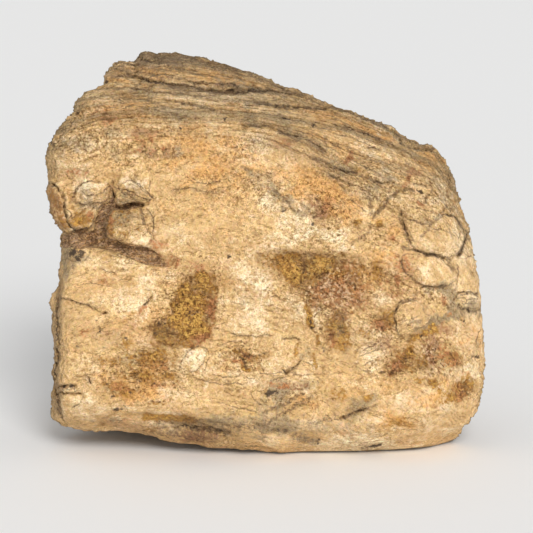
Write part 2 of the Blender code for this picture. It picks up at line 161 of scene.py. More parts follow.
# Hairlines: points, width, depth.
HAIRLINES = [
    ([(-71, 24.5), (-70.5, 26.5), (-69.5, 28.5), (-68, 30), (-65.5, 31),
      (-63.5, 31.5)], 0.25, 0.25),
    ([(-68, 28), (-67, 27), (-65, 26), (-63, 26), (-60.5, 27), (-59, 28.5), (-57.5, 29),
      (-56, 29)], 0.35, 0.4),
    ([(-70.5, 24), (-69, 23), (-67, 22.5), (-64, 24), (-62, 23), (-59.5, 23)], 0.3, 0.4),
    ([(-56, 29), (-53, 28.5), (-50, 27.5), (-48, 26), (-45, 24.5), (-42.5, 24.5)], 0.4, 0.5),
    ([(-53.5, 27.5), (-50.5, 26), (-48.5, 24.5), (-47, 23.5)], 0.4, 0.4),
    ([(-50.5, 32), (-48, 30.5), (-45.5, 28.5), (-42.5, 26), (-41, 24.5)], 0.2, 0.25),
    ([(-44, 22), (-42.5, 20), (-41.5, 17), (-41.5, 14), (-42, 11), (-40.5, 9)], 0.35, 0.4),
    ([(-52.5, 20.5), (-51, 19), (-49, 18), (-47, 18)], 0.4, 0.4),
    ([(-43, 31.5), (-42.5, 29.5), (-42.5, 27.5)], 0.3, 0.2),
    ([(-57.5, 4.5), (-55.5, 4), (-53, 3), (-50.5, 3), (-50.5, 1.5), (-51.5, 0)], 0.25, 0.25),
    ([(-64.5, 6), (-65.5, 4), (-67, 1.5)], 0.25, 0.25),
    ([(-73.5, 21.5), (-72, 20.5), (-71, 19), (-72, 18), (-72.5, 17)], 0.5, 0.4),
    ([(-74.5, 13), (-73.5, 11), (-73.5, 9), (-72.5, 7.5)], 0.8, 0.8),
    ([(63.5, 18), (65, 19), (67, 18.5), (69, 18), (70, 16.5)], 0.4, 0.4),
    ([(52.5, 17), (55, 16.5), (57.5, 15.5), (60, 15.5)], 0.35, 0.3),
    ([(60.5, 13.5), (62.5, 13.5), (64.5, 13), (67, 12.5), (69, 10.5)], 0.2, 0.2),
    ([(53.5, 29.5), (55, 30.5), (57.5, 30), (58.5, 29)], 0.4, 0.3),
    ([(69.5, 1.5), (69.5, -2), (69.5, -7)], 0.3, 0.3),
    ([(70, 3), (72, 3), (74.5, 4), (76, 3)], 0.3, 0.3),
    ([(52.5, 22), (56, 21.5), (58.5, 20.5), (61.5, 19.5)], 0.2, 0.2),
    ([(50.5, 15), (53.5, 11), (54.5, 8.5)], 0.15, 0.2),
    ([(49.5, -20.5), (53.5, -19), (56, -17.5)], 0.25, 0.2),
    ([(50.5, -22.5), (53.5, -20.5), (57.5, -19)], 0.25, 0.2),
    ([(52, -24), (55.5, -22)], 0.2, 0.2),
    ([(48.5, -22), (51, -19.5), (53.5, -18)], 0.2, 0.2),
    ([(79, -23), (77.5, -24.5), (76.5, -27), (76.5, -29)], 0.35, 0.3),
    ([(70.5, -11.5), (74.5, -12), (77.5, -11.5)], 0.15, 0.15),
    ([(71, -13), (74.5, -13.5), (77.5, -13.5)], 0.15, 0.15),
    ([(34, 38.5), (40.5, 38), (44, 38), (48, 35.5), (49.5, 34)], 0.35, 0.4),
    ([(36, 30.5), (38.5, 29.5), (41, 27.5), (41.5, 24.5)], 0.2, 0.3),
    ([(27, 36), (31.5, 33), (36, 29.5), (38.5, 27.5)], 0.3, 0.3),
    ([(30.5, 24.5), (34, 22), (36.5, 20)], 0.2, 0.2),
    ([(-16.5, -28.5), (-15, -27.5), (-9.5, -27.5), (-5.5, -30)], 0.2, 0.2),
    ([(-20.5, -39.5), (-15, -40.5), (-8, -40), (-4, -41.5)], 0.2, 0.3),
    ([(-4, -39), (1.5, -39.5), (7, -38.5), (12.5, -39.5)], 0.2, 0.2),
    ([(0.5, -42), (7, -40.5), (12.5, -39.5), (19.5, -39.5), (28.5, -39)], 0.25, 0.3),
    ([(-22.5, -38.5), (-21.5, -35), (-21, -31.5), (-23, -29.5)], 0.15, 0.2),
    ([(13.5, -34.5), (16.5, -36.5), (19.5, -37)], 0.2, 0.2),
    ([(7, -49.5), (10.5, -47.5), (13.5, -46), (15.5, -48), (16.5, -50.5)], 0.5, 0.4),
    ([(-67, -46.5), (-67.5, -49), (-68.5, -50.5), (-71, -52)], 0.3, 0.3),
    ([(35, -31), (39.5, -28.5), (45, -27.5)], 0.2, 0.2),
    ([(33.5, -33.5), (38.5, -31.5), (43, -30)], 0.2, 0.2),
    ([(35, -36.5), (40, -34.5), (43.5, -33.5)], 0.15, 0.2),
    ([(-28, 31.5), (-22.5, 30), (-16.5, 31)], 0.15, 0.1),
    ([(-14, -12.5), (-9.5, -13.5), (-5.5, -13)], 0.1, 0.1),
    ([(-75.5, 1.5), (-72.5, 3), (-69.5, 1.5)], 0.15, 0.1),
    ([(-69.5, -7), (-64.5, -6), (-59.5, -7)], 0.15, 0.2),
    ([(-61, -0.5), (-56.5, -2), (-52, -1.5), (-49, -2.5)], 0.2, 0.2),
    ([(-26, -41), (-19, -43.5), (-11, -43), (-7, -45)], 0.15, 0.2),
    ([(-6, -46), (-4, -49), (-1.5, -51)], 0.2, 0.2),
    ([(-19.5, -49.5), (-11.5, -51), (-3, -53.5)], 0.15, 0.2),
    ([(-57, 20.3), (-58.6, 18), (-59.1, 15), (-58.6, 12), (-57, 9.8), (-54, 8.6), (-49, 7.6),
      (-44, 6.6)], 0.7, 0.5),
    ([(-72.3, 17), (-72, 14.6), (-70, 13.1), (-67, 13.2), (-64.6, 13.8), (-63.3, 17),
      (-62.3, 20)], 0.5, 0.5),
    ([(-62.3, 20), (-60.5, 22), (-58, 23.6), (-56.8, 26)], 0.5, 0.5),
    ([(-67, 6.9), (-62, 7.1), (-57, 5.6), (-52, 3.9), (-47, 1.8), (-42, 0.2)], 0.4, 0.4),
    ([(-5, 47.5), (3, 46.3), (10, 43), (17, 39.6), (22, 36)], 0.15, 0.2),
    ([(2, 55), (12, 53.4), (22, 50), (32, 46.9), (42, 42.5)], 0.2, 0.3),
    ([(10, 50), (20, 46.9), (30, 42.3), (40, 38.4), (48, 34)], 0.2, 0.3),
    ([(24, 46), (34, 42.4), (44, 37), (52, 32.3)], 0.2, 0.3),
    ([(28, 40), (36, 36.9), (44, 32), (50, 28.8)], 0.15, 0.2),
    ([(44, 45), (52, 41.4), (60, 36)], 0.2, 0.3),
    ([(50, 38), (58, 33.9), (64, 29)], 0.15, 0.2),
    ([(30, 50.5), (40, 47.4), (50, 42.5)], 0.15, 0.2),
    ([(-60, 64.2), (-50, 65.6), (-40, 64), (-30, 62.4)], 0.15, 0.2),
    ([(-58, 58), (-48, 59.2), (-38, 57), (-28, 54.8)], 0.15, 0.2),
    ([(-50, 74), (-40, 73.3), (-30, 71.5), (-18, 69.2)], 0.15, 0.2),
    ([(-38, 76.4), (-28, 75.2), (-18, 72.5), (-8, 69.8)], 0.15, 0.2),
]

# The fibrous brown band that forks round the chips of the knot hole.
CHANNEL = [
    (-76, 10.5), (-73, 12.5), (-71, 13), (-68.5, 13.5), (-65.5, 12.5), (-63.5, 13), (-63, 15),
    (-62, 19), (-61, 21), (-59.5, 22.5), (-57.5, 24), (-56.5, 26), (-56, 26), (-56, 23.5), (-54.5, 22),
    (-52, 22), (-49, 23), (-47, 23), (-45, 23.5), (-45, 22.5), (-48, 21.5), (-50.5, 20.5),
    (-54.5, 20.5), (-56.5, 20.5), (-57.5, 19), (-58.5, 17), (-58.5, 14.5), (-58.5, 12.5), (-57.5, 10),
    (-55.5, 9), (-52, 8.5), (-48, 8), (-44.5, 7), (-42, 6), (-39.5, 4), (-38, 2.5), (-36, 1.5),
    (-37.5, 0), (-41, 0), (-43.5, 1), (-47, 2), (-50, 3.5), (-53.5, 5), (-56.5, 6), (-60, 7),
    (-63, 7.5), (-65.5, 7), (-68.5, 7), (-71, 7), (-76, 7.5),
]
# The layer behind the crack at the left edge.
BACK_LAYER = [(-82, 31), (-79, 29.5), (-76.5, 27.5), (-74.5, 25), (-74.5, 21), (-73.5, 18), (-72.5, 14),
              (-75, 13), (-80, 16), (-83, 24)]
# The olive patch left of the middle.
OLIVE_PATCH = [(-30.5, -4), (-28, -3), (-23, -1.5), (-19.5, -1.5), (-18.5, -7), (-18, -12.5),
               (-18, -18), (-19, -21.5), (-20.5, -24.5), (-24.5, -28), (-28.5, -31.5), (-37, -29.5),
               (-41, -28.5), (-42.5, -25), (-42, -22.5), (-39, -20), (-35.5, -19), (-36, -15),
               (-32.5, -11.5), (-31.5, -7)]
# The brown and purple patch right of the middle.
PLUM_PATCH = [(2, 4.5), (7, 5.5), (13, 5.5), (20, 4.5), (29, 4.5), (36, 2), (45, 0), (46.5, -5),
              (42, -8), (38, -11), (36, -16), (29, -17.5), (22, -15), (17, -16), (13, -12),
              (9.5, -9.5), (6.5, -6.5), (3, -1)]
# The brown corner of the pitted hollow at the lower right.
CORNER_PATCH = [(49.5, -30), (55.5, -31), (58, -35), (57, -38.5), (49, -40), (44.5, -41), (43.5, -38.5),
                (46, -34)]
# How deep, in millimetres, each worn patch lies.
WORN_PATCHES = ((OLIVE_PATCH, 0.9), (CORNER_PATCH, 0.8), (PLUM_PATCH, 0.6))
CHANNEL_DEPTH = 1.1
PIT_SPACING = 2.3           # millimetres from one small pit to the next

# Chips and plates that stand proud between cracks: outline, height.
PLATES = [
    ([(-70.5, 18), (-68.5, 19.5), (-65.5, 20.5), (-63, 20.5), (-62, 19), (-63, 16.5), (-64, 14.5),
      (-66, 13.5), (-69, 13.5), (-71, 15), (-72.5, 16.5)], 1.3),
    ([(-57.5, 19), (-56, 20.5), (-53.5, 20.5), (-51, 20.5), (-48, 21.5), (-46, 22), (-45.5, 19.5),
      (-45, 16.5), (-43.5, 13.5), (-42, 11), (-42.5, 8), (-45, 7.5), (-49, 8), (-53, 9.5),
      (-56, 10.5), (-58, 12.5), (-58.5, 15), (-58.5, 17.5)], 1.5),
    ([(49.5, 19.5), (52.5, 17), (57.5, 15.5), (61.5, 16.5), (64, 18.5), (68, 18.5), (70, 16.5),
      (72.5, 13), (72.5, 9.5), (70, 4.5), (68, 3.5), (64, 4), (58.5, 4.5), (54.5, 6.5), (52, 9.5),
      (50.5, 13.5)], 0.9),
    ([(49, 4), (53.5, 5), (58, 3.5), (63.5, 3.5), (66, 1.5), (68.5, -2.5), (69.5, -5.5), (66.5, -7),
      (62.5, -8), (57.5, -7), (54.5, -5), (51, -2), (49, 1)], 0.8),
    ([(47.5, -15.5), (51, -13), (55, -12.5), (57.5, -15), (56.5, -17), (61, -18), (60, -20),
      (55.5, -22), (53.5, -24.5), (50.5, -26), (48, -24.5), (47, -20.5)], 0.7),
    ([(-31.5, -37), (-30, -33), (-27.5, -30), (-24.5, -28.5), (-22, -30.5), (-22.5, -34), (-25, -38),
      (-28.5, -38.5)], 0.5),
]

# Lobes of cream silica with fine lines that follow their outline.
LOBES = [
    [(-71, 24.5), (-69.5, 27.5), (-67.5, 30), (-64, 31.5), (-59.5, 31), (-56.5, 29), (-57.5, 26),
     (-59.5, 23), (-63, 23), (-67, 22.5)],
    [(-55, 28.5), (-52, 31.5), (-49, 31.5), (-45, 29), (-41.5, 25.5), (-43.5, 23.5), (-47, 23),
     (-51.5, 22), (-54.5, 22), (-55.5, 25)],
    [(69, -13), (71.5, -10.5), (77.5, -10), (78.5, -12.5), (77.5, -15), (71.5, -15.5)],
    [(31.5, -33), (35, -28.5), (39.5, -27), (44.5, -28.5), (46.5, -32.5), (43.5, -36.5),
     (38.5, -38.5), (33.5, -38.5)],
]
LOBE_LINES = 1.3            # millimetres between those lines
LOBE_REACH = 9.0            # millimetres from an outline within which they are drawn

# Soft spots of each tone: x, h, half width, half height, turn in degrees, strength.
SPOTS = {
    "rust": [
        (-18, 39, 16, 13, 0, 0.7), (-30, 47, 16, 5, -4, 0.6), (-50, 56.5, 14, 4, 4, 0.85),
        (-58, 55, 8, 4, 0, 0.6), (8, 33, 16, 5, -14, 0.6), (20, 30, 13, 6, -25, 0.9),
        (22, 54, 8, 3.5, -10, 0.95), (60, 39, 5, 5, -30, 0.7), (27, 19, 7, 3, -10, 0.8),
        (10, 27, 5, 3, 0, 0.7), (44, 14, 7, 6, 0, 0.45), (-52, 8, 10, 2, -12, 0.5),
        (-69, 8.5, 4, 2, 0, 0.8), (-48, -43, 16, 5, 0, 0.6), (-54, 70, 5, 2, 0, 0.7),
        (75, -26, 5, 9, 0, 0.5), (66, -46, 8, 4, 20, 0.3), (12, -50, 6, 3.5, 0, 0.75),
        (48, -57, 6, 2.5, 0, 0.9), (64, -48, 6, 3, 0, 0.6), (55, -49, 6, 3, 0, 0.5),
        (-52, 44, 6, 4, 0, 0.3), (-30, 20, 12, 8, 0, 0.35), (-16, 14, 12, 9, 0, 0.3),
        (42, 2, 7, 6, 0, 0.55), (-70, -24, 5, 6, 0, 0.35), (-52, -8, 10, 5, 0, 0.2),
        (30, -47, 8, 3, 0, 0.3), (20, -60, 8, 3, 0, 0.3), (-10, -58, 16, 2.5, 0, 0.4),
        (-15, 68.5, 16, 3, -12, 0.9), (-40, 71, 12, 2.5, -2, 0.7), (10, 59.5, 12, 2, -14, 0.6),
        (13, -50, 4.5, 2.5, 0, 0.9), (-48, -46.5, 11, 3, 0, 0.9), (-46, -38, 12, 4, -6, 0.6),
        (-33, 75, 20, 2.5, -8, 0.5), (38, -3, 8, 5, -10, 0.55), (44, -13, 5, 3, 0, 0.4),
        (66, -41, 8, 4, -10, 0.5), (-46, 49, 12, 5, -10, 0.5), (-34, 41, 12, 7, 0, 0.6),
        (-8, 48, 12, 2, -4, 0.3), (-44, -38, 12, 4, -6, 0.5), (52, -44, 8, 3, 0, 0.4),
        (24, 20, 4, 2.6, 0, 1.0), (12, 28, 7, 3, -30, 0.6), (-58, 48, 6, 3, 0, 0.4),
        (-60, -5, 12, 8, 0, 0.3), (50, -35, 6, 3, 0, 0.3),
    ],
    "red": [
        (-44, 47, 7, 5, -30, 0.5), (-59, 54.5, 6, 2.5, 0, 0.6), (-49.5, 42.5, 4, 2, 0, 0.5),
        (22, 23, 6, 3, -10, 0.3), (-20, -16, 1.8, 5, 0, 0.9), (-24, -26.5, 4, 2, 20, 0.8),
        (-64, 19, 2.2, 1.8, 0, 0.8), (41, -21.5, 2.5, 2, 0, 0.9), (52, -5, 4, 3, 0, 0.45),
        (-26, 0, 5, 2.5, 0, 0.4), (-68, -22, 3.5, 4.5, 0, 0.45), (47, -37, 4, 2.5, 30, 0.9),
        (5, 45.5, 5, 2, 0, 0.55), (-53.5, -44.5, 4, 1.5, 0, 0.45), (-39, -36, 5, 3, 0, 0.3),
        (-70, 34, 5, 2, 0, 0.5), (-59.5, -5, 4, 1.5, 0, 0.5), (36, -14, 6, 4, 0, 0.4),
        (50, 1, 5, 4, 0, 0.5), (24, -26.5, 2, 2.5, 0, 0.7), (47, -7, 6, 2.5, 0, 0.5),
        (9, 0, 4, 3, 0, 0.25), (15, -12, 5, 3, 0, 0.25), (-39, 8, 3, 2, 0, 0.5), (-35, 2, 3, 2, 0, 0.6),
        (-38, -43.5, 4, 1.5, 0, 0.5), (41, -5, 8, 4.5, -12, 0.1), (36, -9, 6, 4, 0, 0.3),
        (24, -8, 8, 4, 0, 0.45), (50, -35, 6, 4, 0, 0.3), (66, -32, 5, 4, 0, 0.5),
        (-44, -35, 8, 4, 0, 0.22), (71.5, -46, 3, 3, 0, 0.6), (-48, -41, 8, 2.5, 0, 0.22),
        (42, -20, 4, 3, 0, 0.25), (-60, 53, 6, 3, 0, 0.2), (72, -44.5, 3, 2.5, 30, 0.3),
        (26, -26, 3, 4, 0, 0.15), (48, -37, 5, 3, 20, 0.4), (67.5, -34, 4, 3, 0, 0.5),
        (-40, -34, 7, 3, 0, 0.15), (30, 0, 4, 2, 0, 0.4), (-64.8, 19.5, 1.6, 1.3, 0, 1.1),
        (-19.5, -18, 2.5, 5, 0, 0.3), (-57, 17, 1.0, 4, 0, 0.8), (-38, 43, 6, 2.5, -30, 0.25),
        (-52, 47, 4, 2, -20, 0.2),
    ],
    "ochre": [
        (-42.5, -33.5, 8.5, 3.6, -6, 0.8), (-46.5, -40, 8, 2.6, -4, 0.75), (-53.5, -45, 6, 2.2, 0, 0.7),
        (-52, -29, 4, 2, 0, 0.6), (-36, -41, 6, 2, 0, 0.6), (-67, 16.5, 4.5, 3, 10, 0.7),
        (-58, 14, 1.5, 6, -10, 0.9), (-50, 21, 5, 1.2, 10, 0.8), (-54, 9.5, 4, 1.2, -25, 0.6),
        (14, -1, 7, 4, 0, 0.95), (38, -3, 8, 3, -6, 0.3), (43, -19, 4, 3, 0, 0.95),
        (34, 34.5, 2.5, 2, 0, 0.6), (33.7, 16.3, 1, 1, 0, 1.3), (41.7, 15.4, 1, 1, 0, 1.3),
        (71.5, -45.5, 3.6, 2.8, 20, 1.1), (67, -48, 3.5, 2, 20, 0.9), (61, -43, 4, 1.6, -40, 0.8),
        (67, -33, 4.5, 3.5, 10, 0.85), (55, -41.5, 5, 2, 0, 0.6), (25.5, -47, 3.5, 3, 0, 0.5),
        (37, -48, 1.5, 1.2, 0, 0.8), (28, -35, 4, 4, 0, 0.4), (-40, -50, 3.5, 0.8, 0, 0.8),
        (-43, -60, 5, 1.5, 0, 0.5), (36, -24.5, 4, 2.5, 0, 0.5), (61, -23, 2, 1.5, 0, 0.8),
        (48, -57.5, 4.5, 1.8, 0, 0.7), (5, 45.5, 4.5, 1.4, 0, 0.5), (12, -17, 4, 8, 0, 0.15),
        (40, 0, 3, 2, 0, 0.6), (-8, -32.5, 3, 2, 0, 0.5), (-67.5, 17, 4.5, 3, 10, 0.9),
        (-58, -34, 5, 2, 0, 0.5), (-48, -36, 12, 5, -6, 0.35), (17, 0, 14, 4.5, -4, 1.2),
        (26.5, -24, 4, 6, 10, 1.1), (42.5, -20, 4, 3, 0, 0.8), (12, -7, 5, 4, -40, 0.8),
        (20, -11, 3, 3, 0, 0.3), (52, -33, 6, 5, 20, 0.65), (50, -35, 6, 4, 25, 0.7),
        (55, -36, 4, 3, 0, 0.7), (67.5, -33, 4, 3, 10, 0.9), (72, -44.5, 3.5, 3, 30, 1.1),
        (-66, 18.5, 3, 2, 20, 1.0), (-50, 15, 8, 6, 0, 0.35),
    ],
    "plum": [
        (-51.5, 16.5, 4.5, 2.5, 0, 0.35), (30, -11, 8, 4.5, -10, 0.95), (27, -10, 8, 4.5, -10, 0.6),
        (19, 20, 4, 6, 20, 0.45), (61, -31, 4, 7, 10, 0.6), (-27, 0, 5, 2.5, 0, 0.45),
        (-26, -62, 7, 2.5, 0, 0.8), (65, -23, 5, 2.5, 0, 0.6), (43, -28, 6, 3, 0, 0.5),
        (27, -18.5, 3.5, 2.5, 0, 0.85), (31, -6, 3.5, 2.5, 0, 0.5), (60, -11.5, 6, 2.5, 0, 0.15),
        (9.5, -44, 5, 1.3, -4, 0.7), (36, 12, 4, 4, 0, 0.35), (52, -43, 5, 2, 0, 0.4),
        (-66, 12, 6, 1.5, 0, 0.3), (48, -29, 7, 4, 0, 0.4), (27, -11, 8, 4.5, -10, 0.85),
        (35, -11, 5, 4, 0, 0.55),
    ],
    # Grey spots low on the face, at h of -50 and below, are painted shade: the bottom band turning
    # under, and the shadow under its ledges and folds. The wide spot along the top rim, at x -30 and h
    # 75, is partly the grey-brown of the grain and partly painted shade of the rim curving away.
    "grey": [
        (-50, 59, 10, 3, 0, 0.15), (-34, 57, 12, 4, -10, 0.6), (-45, 42, 16, 3, 0, 0.5),
        (-1, 30, 9, 3, -10, 0.4), (4, 26, 5, 5, -50, 0.35), (26, 36, 9, 3, -12, 0.6),
        (-73, 0.5, 2.5, 4, 0, 0.9), (5, -45, 7, 4, 0, 0.9), (16, -44, 5, 2, 0, 0.6),
        (58, -19, 8, 3, 35, 0.45), (72, -15, 7, 3, 0, 0.8), (66, -7, 3, 3, 0, 0.6),
        (-58, -27, 5, 4, 0, 0.55), (-50, -34.5, 6, 2.5, 0, 0.6), (-44, -33, 4, 2, 0, 0.4),
        (10, -58, 12, 2, 2, 0.6), (34, -50.5, 7, 2.5, 15, 0.75), (12, -63, 6, 2.5, 0, 0.6),
        (-55, -57, 12, 2, -2, 0.45), (30, -31, 6, 2.5, 20, 0.5), (20, -18, 4, 4, 0, 0.3),
        (36, 42, 16, 5, -20, 0.15), (54, 40, 8, 4, -20, 0.2), (46, 30, 10, 5, -20, 0.45),
        (-42, 63, 12, 4, 0, 0.4), (14, -31.5, 2, 2, 0, 0.6), (-4, 70, 12, 2, -20, 0.3),
        (28, -30.5, 1.5, 1, 0, 0.9), (20.5, -31, 1.2, 1.2, 0, 0.9), (-49, 30, 5, 2, 0, 0.3),
        (-9, -40, 8, 1.5, 0, 0.4), (40, -57, 20, 3, 0, 0.15), (-52, 17, 5.5, 3.2, 0, 0.9),
        (-20, -57, 30, 4, 0, 0.7), (20, -59, 24, 4, 0, 0.4), (-30, 75, 24, 4, -8, 0.6),
        (-66, 23.5, 6, 1.5, 0, 0.7), (-72, 5, 5, 4, 0, 0.7), (3, -58, 12, 4, 0, 0.9),
        (30, -56, 12, 3, 14, 0.6), (-57, 18, 15, 9, 0, 0.5), (-2, -55, 14, 5, 0, 0.5),
        (-6, 64, 18, 4, -12, 0.6), (4, 53, 16, 4, -14, 0.6), (0, -50, 12, 3, 0, 0.5),
        (66, -53, 8, 4, 0, 0.3),
    ],
    # Broad umber spots low on the face, at h of -53 and below, are painted shade of the bottom band
    # turning under. The spots along the top rim, at h of 73 and above, are partly the grey-brown of the
    # grain and partly painted shade of the rim curving away.
    "umber": [
        (-76, 22, 4, 7, 0, 0.3), (20, 3.5, 14, 1.4, -4, 0.2), (13, -5, 3, 2, 0, 0.4),
        (20, -3.5, 3, 2, 0, 0.6), (31, -6, 3, 2, 0, 0.35), (27, -17.5, 3, 2, 0, 0.5),
        (-48, 27, 5, 1.5, -10, 0.35), (52, 45, 6, 2, -20, 0.45), (8, 35, 8, 2, -10, 0.3),
        (-36, 70, 8, 2.5, -10, 0.45), (-7, 60, 10, 2, -6, 0.4), (-32, 75, 14, 4, -6, 0.55),
        (-8, 73, 12, 2, -16, 0.5), (-30, -58, 14, 2.4, -4, 0.5), (2, -58, 12, 2.5, 0, 0.3),
        (-30, 66, 16, 1.5, -4, 0.4), (74, 30, 3, 12, 22, 0.3), (-42, 77, 17, 6, -2, 0.9),
        (-16, 74.5, 16, 5, -14, 0.7), (4, 67, 12, 3, -18, 0.45), (-72, 6, 5, 4, 0, 0.5),
        (-62, 22, 8, 1.6, 0, 0.5), (-50, 23.5, 7, 1.4, 0, 0.55), (-30, -61, 20, 3, -3, 0.6),
        (4, -60, 20, 2, 0, 0.3), (27, -20.5, 3, 3, 0, 0.6), (10, 3, 5, 1.5, 0, 0.5),
        (25, 1, 5, 2.5, 0, 0.5), (17.5, -64.5, 2, 1.4, 0, 0.7), (57, -37.5, 2, 1.6, 0, 0.6),
        (-38.5, -24, 4, 5, 20, 0.6), (-36, -25, 2.5, 2, 0, 0.5), (-39.5, -23, 4, 3.5, 20, 0.5),
        (68.5, -34, 2, 1.6, 0, 0.25), (43, -21, 2, 1.5, 0, 0.5), (26.5, -23, 3.4, 5.5, 10, 0.6),
        (-22, -6, 3, 4, 0, 0.2), (-20.5, -22, 3, 4, 0, 0.2), (-33, -27, 4, 2.5, 0, 0.35),
        (28, -9, 3, 2, 0, 0.35), (23, -6, 3, 1.6, 0, 0.3), (10, -4, 3, 2, 0, 0.3),
        (-6, 66, 18, 3, -12, 0.35), (0, -53, 12, 3, 0, 0.2), (-26, 62, 14, 3, -6, 0.3),
        (-2, -58, 14, 5, 0, 0.3),
    ],
    # Some pale spots are painted light: most of those on the upper right, x from 34 to 70 and h from 20
    # to 54, lift a slope that the lamps leave darker, and the one at x 34, h -66 lifts the bottom edge
    # out of the shade where the stone meets the floor.
    "pale": [
        (-6, 43, 8, 5, 10, 0.95), (5, 38.5, 8, 2, 0, 0.5), (1, 24, 3.5, 4, 0, 0.8),
        (12, 17, 7, 8, -30, 0.8), (24, 11.5, 7, 2.6, 0, 0.85), (6, 9, 9, 3, 0, 0.6),
        (27, 6.5, 3, 1.6, 0, 0.9), (-4, -8, 9, 12, 0, 0.75), (-4, -20, 10, 6, 0, 0.6),
        (-27, -33.5, 4, 5, -40, 0.75), (-49, -10, 8, 9, 30, 0.6), (-60, 1, 10, 5, 0, 0.45),
        (-42, -6, 6, 6, 0, 0.6), (-60, -12, 12, 4, 0, 0.3), (60, -1, 6, 3, -10, 0.45),
        (60, 10, 8, 4, 0, 0.25), (49, -50.5, 8, 3.4, 0, 0.7), (38, -33, 7, 5, 10, 0.6),
        (36, -13, 4, 2, 0, 0.6), (42, -11.5, 5, 3, 10, 0.8), (73, -40, 6, 4, 0, 0.75),
        (75, -12, 3.5, 2.5, 0, 0.5), (-45, 9, 4.5, 2.6, -30, 1.0), (-65, 29, 5, 3, 0, 0.75),
        (-48.5, 30.5, 5, 2, -10, 0.75), (-50, 1, 6, 3, 0, 0.5), (-64, -40, 10, 8, 0, 0.4),
        (-66, -50, 8, 4, 0, 0.6), (-20, -38, 8, 3, 0, 0.5), (-16, -34, 6, 3, 0, 0.5),
        (0, -33, 6, 4, 0, 0.4), (18, -37, 5, 3, 0, 0.4), (-49, 67, 1.6, 0.9, 0, 1.2),
        (13, -48, 4, 1, 0, 0.3), (10, -43, 3, 1.4, 20, 0.6), (16.5, -45, 2, 2, 0, 0.7),
        (-30, 62.5, 16, 1.2, -4, 0.4), (30, 27, 7, 2.5, -10, 0.5), (44, 34, 8, 2.5, -16, 0.5),
        (70, -56, 8, 6, 30, 0.1), (28, -58, 10, 3, 0, 0.4), (5.5, 64, 3, 1, -20, 0.7),
        (-28, 8, 8, 6, 0, 0.3), (58, 18, 5, 3, 0, 0.2), (38, 20, 4, 3, 0, 0.4),
        (34, -66, 16, 4, 0, 1.2), (64, 34, 5, 8, -30, 0.5), (40, 50, 8, 3, -22, 0.6),
        (75, -26, 4, 9, 0, 0.7), (10, -14, 3.5, 6, 20, 0.7), (27, -22, 3, 5, 0, 0.5),
        (-68, 42, 8, 6, 0, 0.5), (-48, -20, 5, 5, 30, 0.4), (58, -9, 8, 3, 0, 0.5),
        (64, 28, 6, 8, 0, 0.5), (36, 46, 14, 4, -20, 0.5), (-62, -52, 12, 5, 0, 0.6),
        (-70, 38, 8, 8, 0, 0.4), (17, -15, 4, 4, 0, 0.4), (62, -9, 6, 3, 0, 0.4),
        (60, 54, 10, 6, -30, 0.3), (-50, 53, 10, 3, 0, 0.3), (-53, 9.5, 4, 2, -20, 0.7),
        (60.5, -36, 2.5, 3, 0, 0.6), (36, 1, 4, 3, 0, 0.4), (38, -7, 8, 2, -10, 0.4),
        (20, -17, 5, 4, 0, 0.6), (38, -3, 7, 4, -10, 0.4), (60, -8.5, 8, 3, 0, 0.5),
        (75, -22, 4, 7, 0, 0.6), (-8, 43, 8, 5, 10, 0.5), (61, -30, 3, 4, 0, 0.4),
        (-60, 56, 9, 4, 0, 0.6), (70, 20, 4, 6, 0, 0.3), (18, -20, 5, 3, 0, 0.5),
        (40, -1, 7, 3, -10, 0.4), (61, -31, 3, 5, 0, 0.4), (34, 48, 16, 3, -18, 0.35),
        (18, 22, 3, 2, 0, 0.4), (57, -8, 6, 3, 0, 0.3), (0, 28, 8, 5, 0, 0.25),
        (-56, 55, 12, 5, 0, 0.25),
    ],
    "dirt": [
        (-38.5, -20.5, 3.2, 1.2, 20, 0.5), (-40.5, -24, 1.6, 2.6, 20, 0.5),
        (-37.5, -28, 1.4, 1.8, 0, 0.4), (-71, 5.5, 1.8, 0.9, 20, 1.1), (-69.5, 3.5, 1.6, 0.9, 0, 0.9),
        (5, -60.3, 3, 0.8, 0, 0.45), (0.8, -46.5, 1.5, 0.8, 0, 1.1), (3, -46, 1.2, 0.6, 0, 0.8),
        (-31.5, 50.5, 0.5, 0.5, 0, 1.2), (-14, 3.3, 0.6, 0.6, 0, 1.2), (-15.3, 54, 0.6, 0.5, 0, 1.0),
        (16.8, 15, 0.8, 0.8, 0, 0.9), (-51.5, -26.5, 0.9, 0.6, 0, 0.8), (-69, -29.5, 1, 0.4, 0, 0.8),
        (-54.5, -52.5, 1.8, 0.6, 0, 0.9), (-52, -51, 0.6, 0.7, 0, 0.8), (-42, -49.5, 1.6, 0.5, 0, 0.7),
        (-39, -49.8, 1.5, 0.6, 0, 0.8), (-63, -20, 1.2, 0.4, 20, 0.6), (-61, -23.5, 1.2, 0.6, 40, 0.7),
        (60.5, -39.3, 1.3, 0.6, 0, 0.8), (63, -39.5, 0.8, 0.5, 0, 0.7), (38, -53, 1, 0.5, 0, 0.7),
        (74, -16.5, 0.6, 0.4, 0, 0.9), (21, -31, 0.7, 0.9, 0, 0.7), (47, -59.5, 0.6, 0.4, 0, 0.8),
        (6, 20.5, 1.5, 0.5, 0, 0.7), (67, 34, 1.5, 1, -40, 0.6), (-6, 28, 1, 0.4, 0, 0.5),
        (42, -22.5, 1.5, 1, 0, 0.5), (24, -27.5, 1.2, 1, 0, 0.2), (56.5, 27, 1.2, 0.8, 0, 0.7),
        (-56, -47.5, 0.7, 0.5, 0, 0.8), (-50, -46, 0.6, 0.6, 0, 0.7), (-46.5, -42, 1.2, 0.5, 10, 0.7),
        (-41, -43, 0.7, 0.5, 0, 0.7), (-38, -39.5, 0.9, 0.5, -20, 0.6), (-58, -43, 0.5, 0.5, 0, 0.8),
        (-44.5, -47.5, 0.8, 0.4, 0, 0.7), (-52, -39, 0.5, 0.5, 0, 0.7),
    ],
}

SOFT_TONES = ("pale", "rust", "grey")      # these fade out softly; the others end raggedly

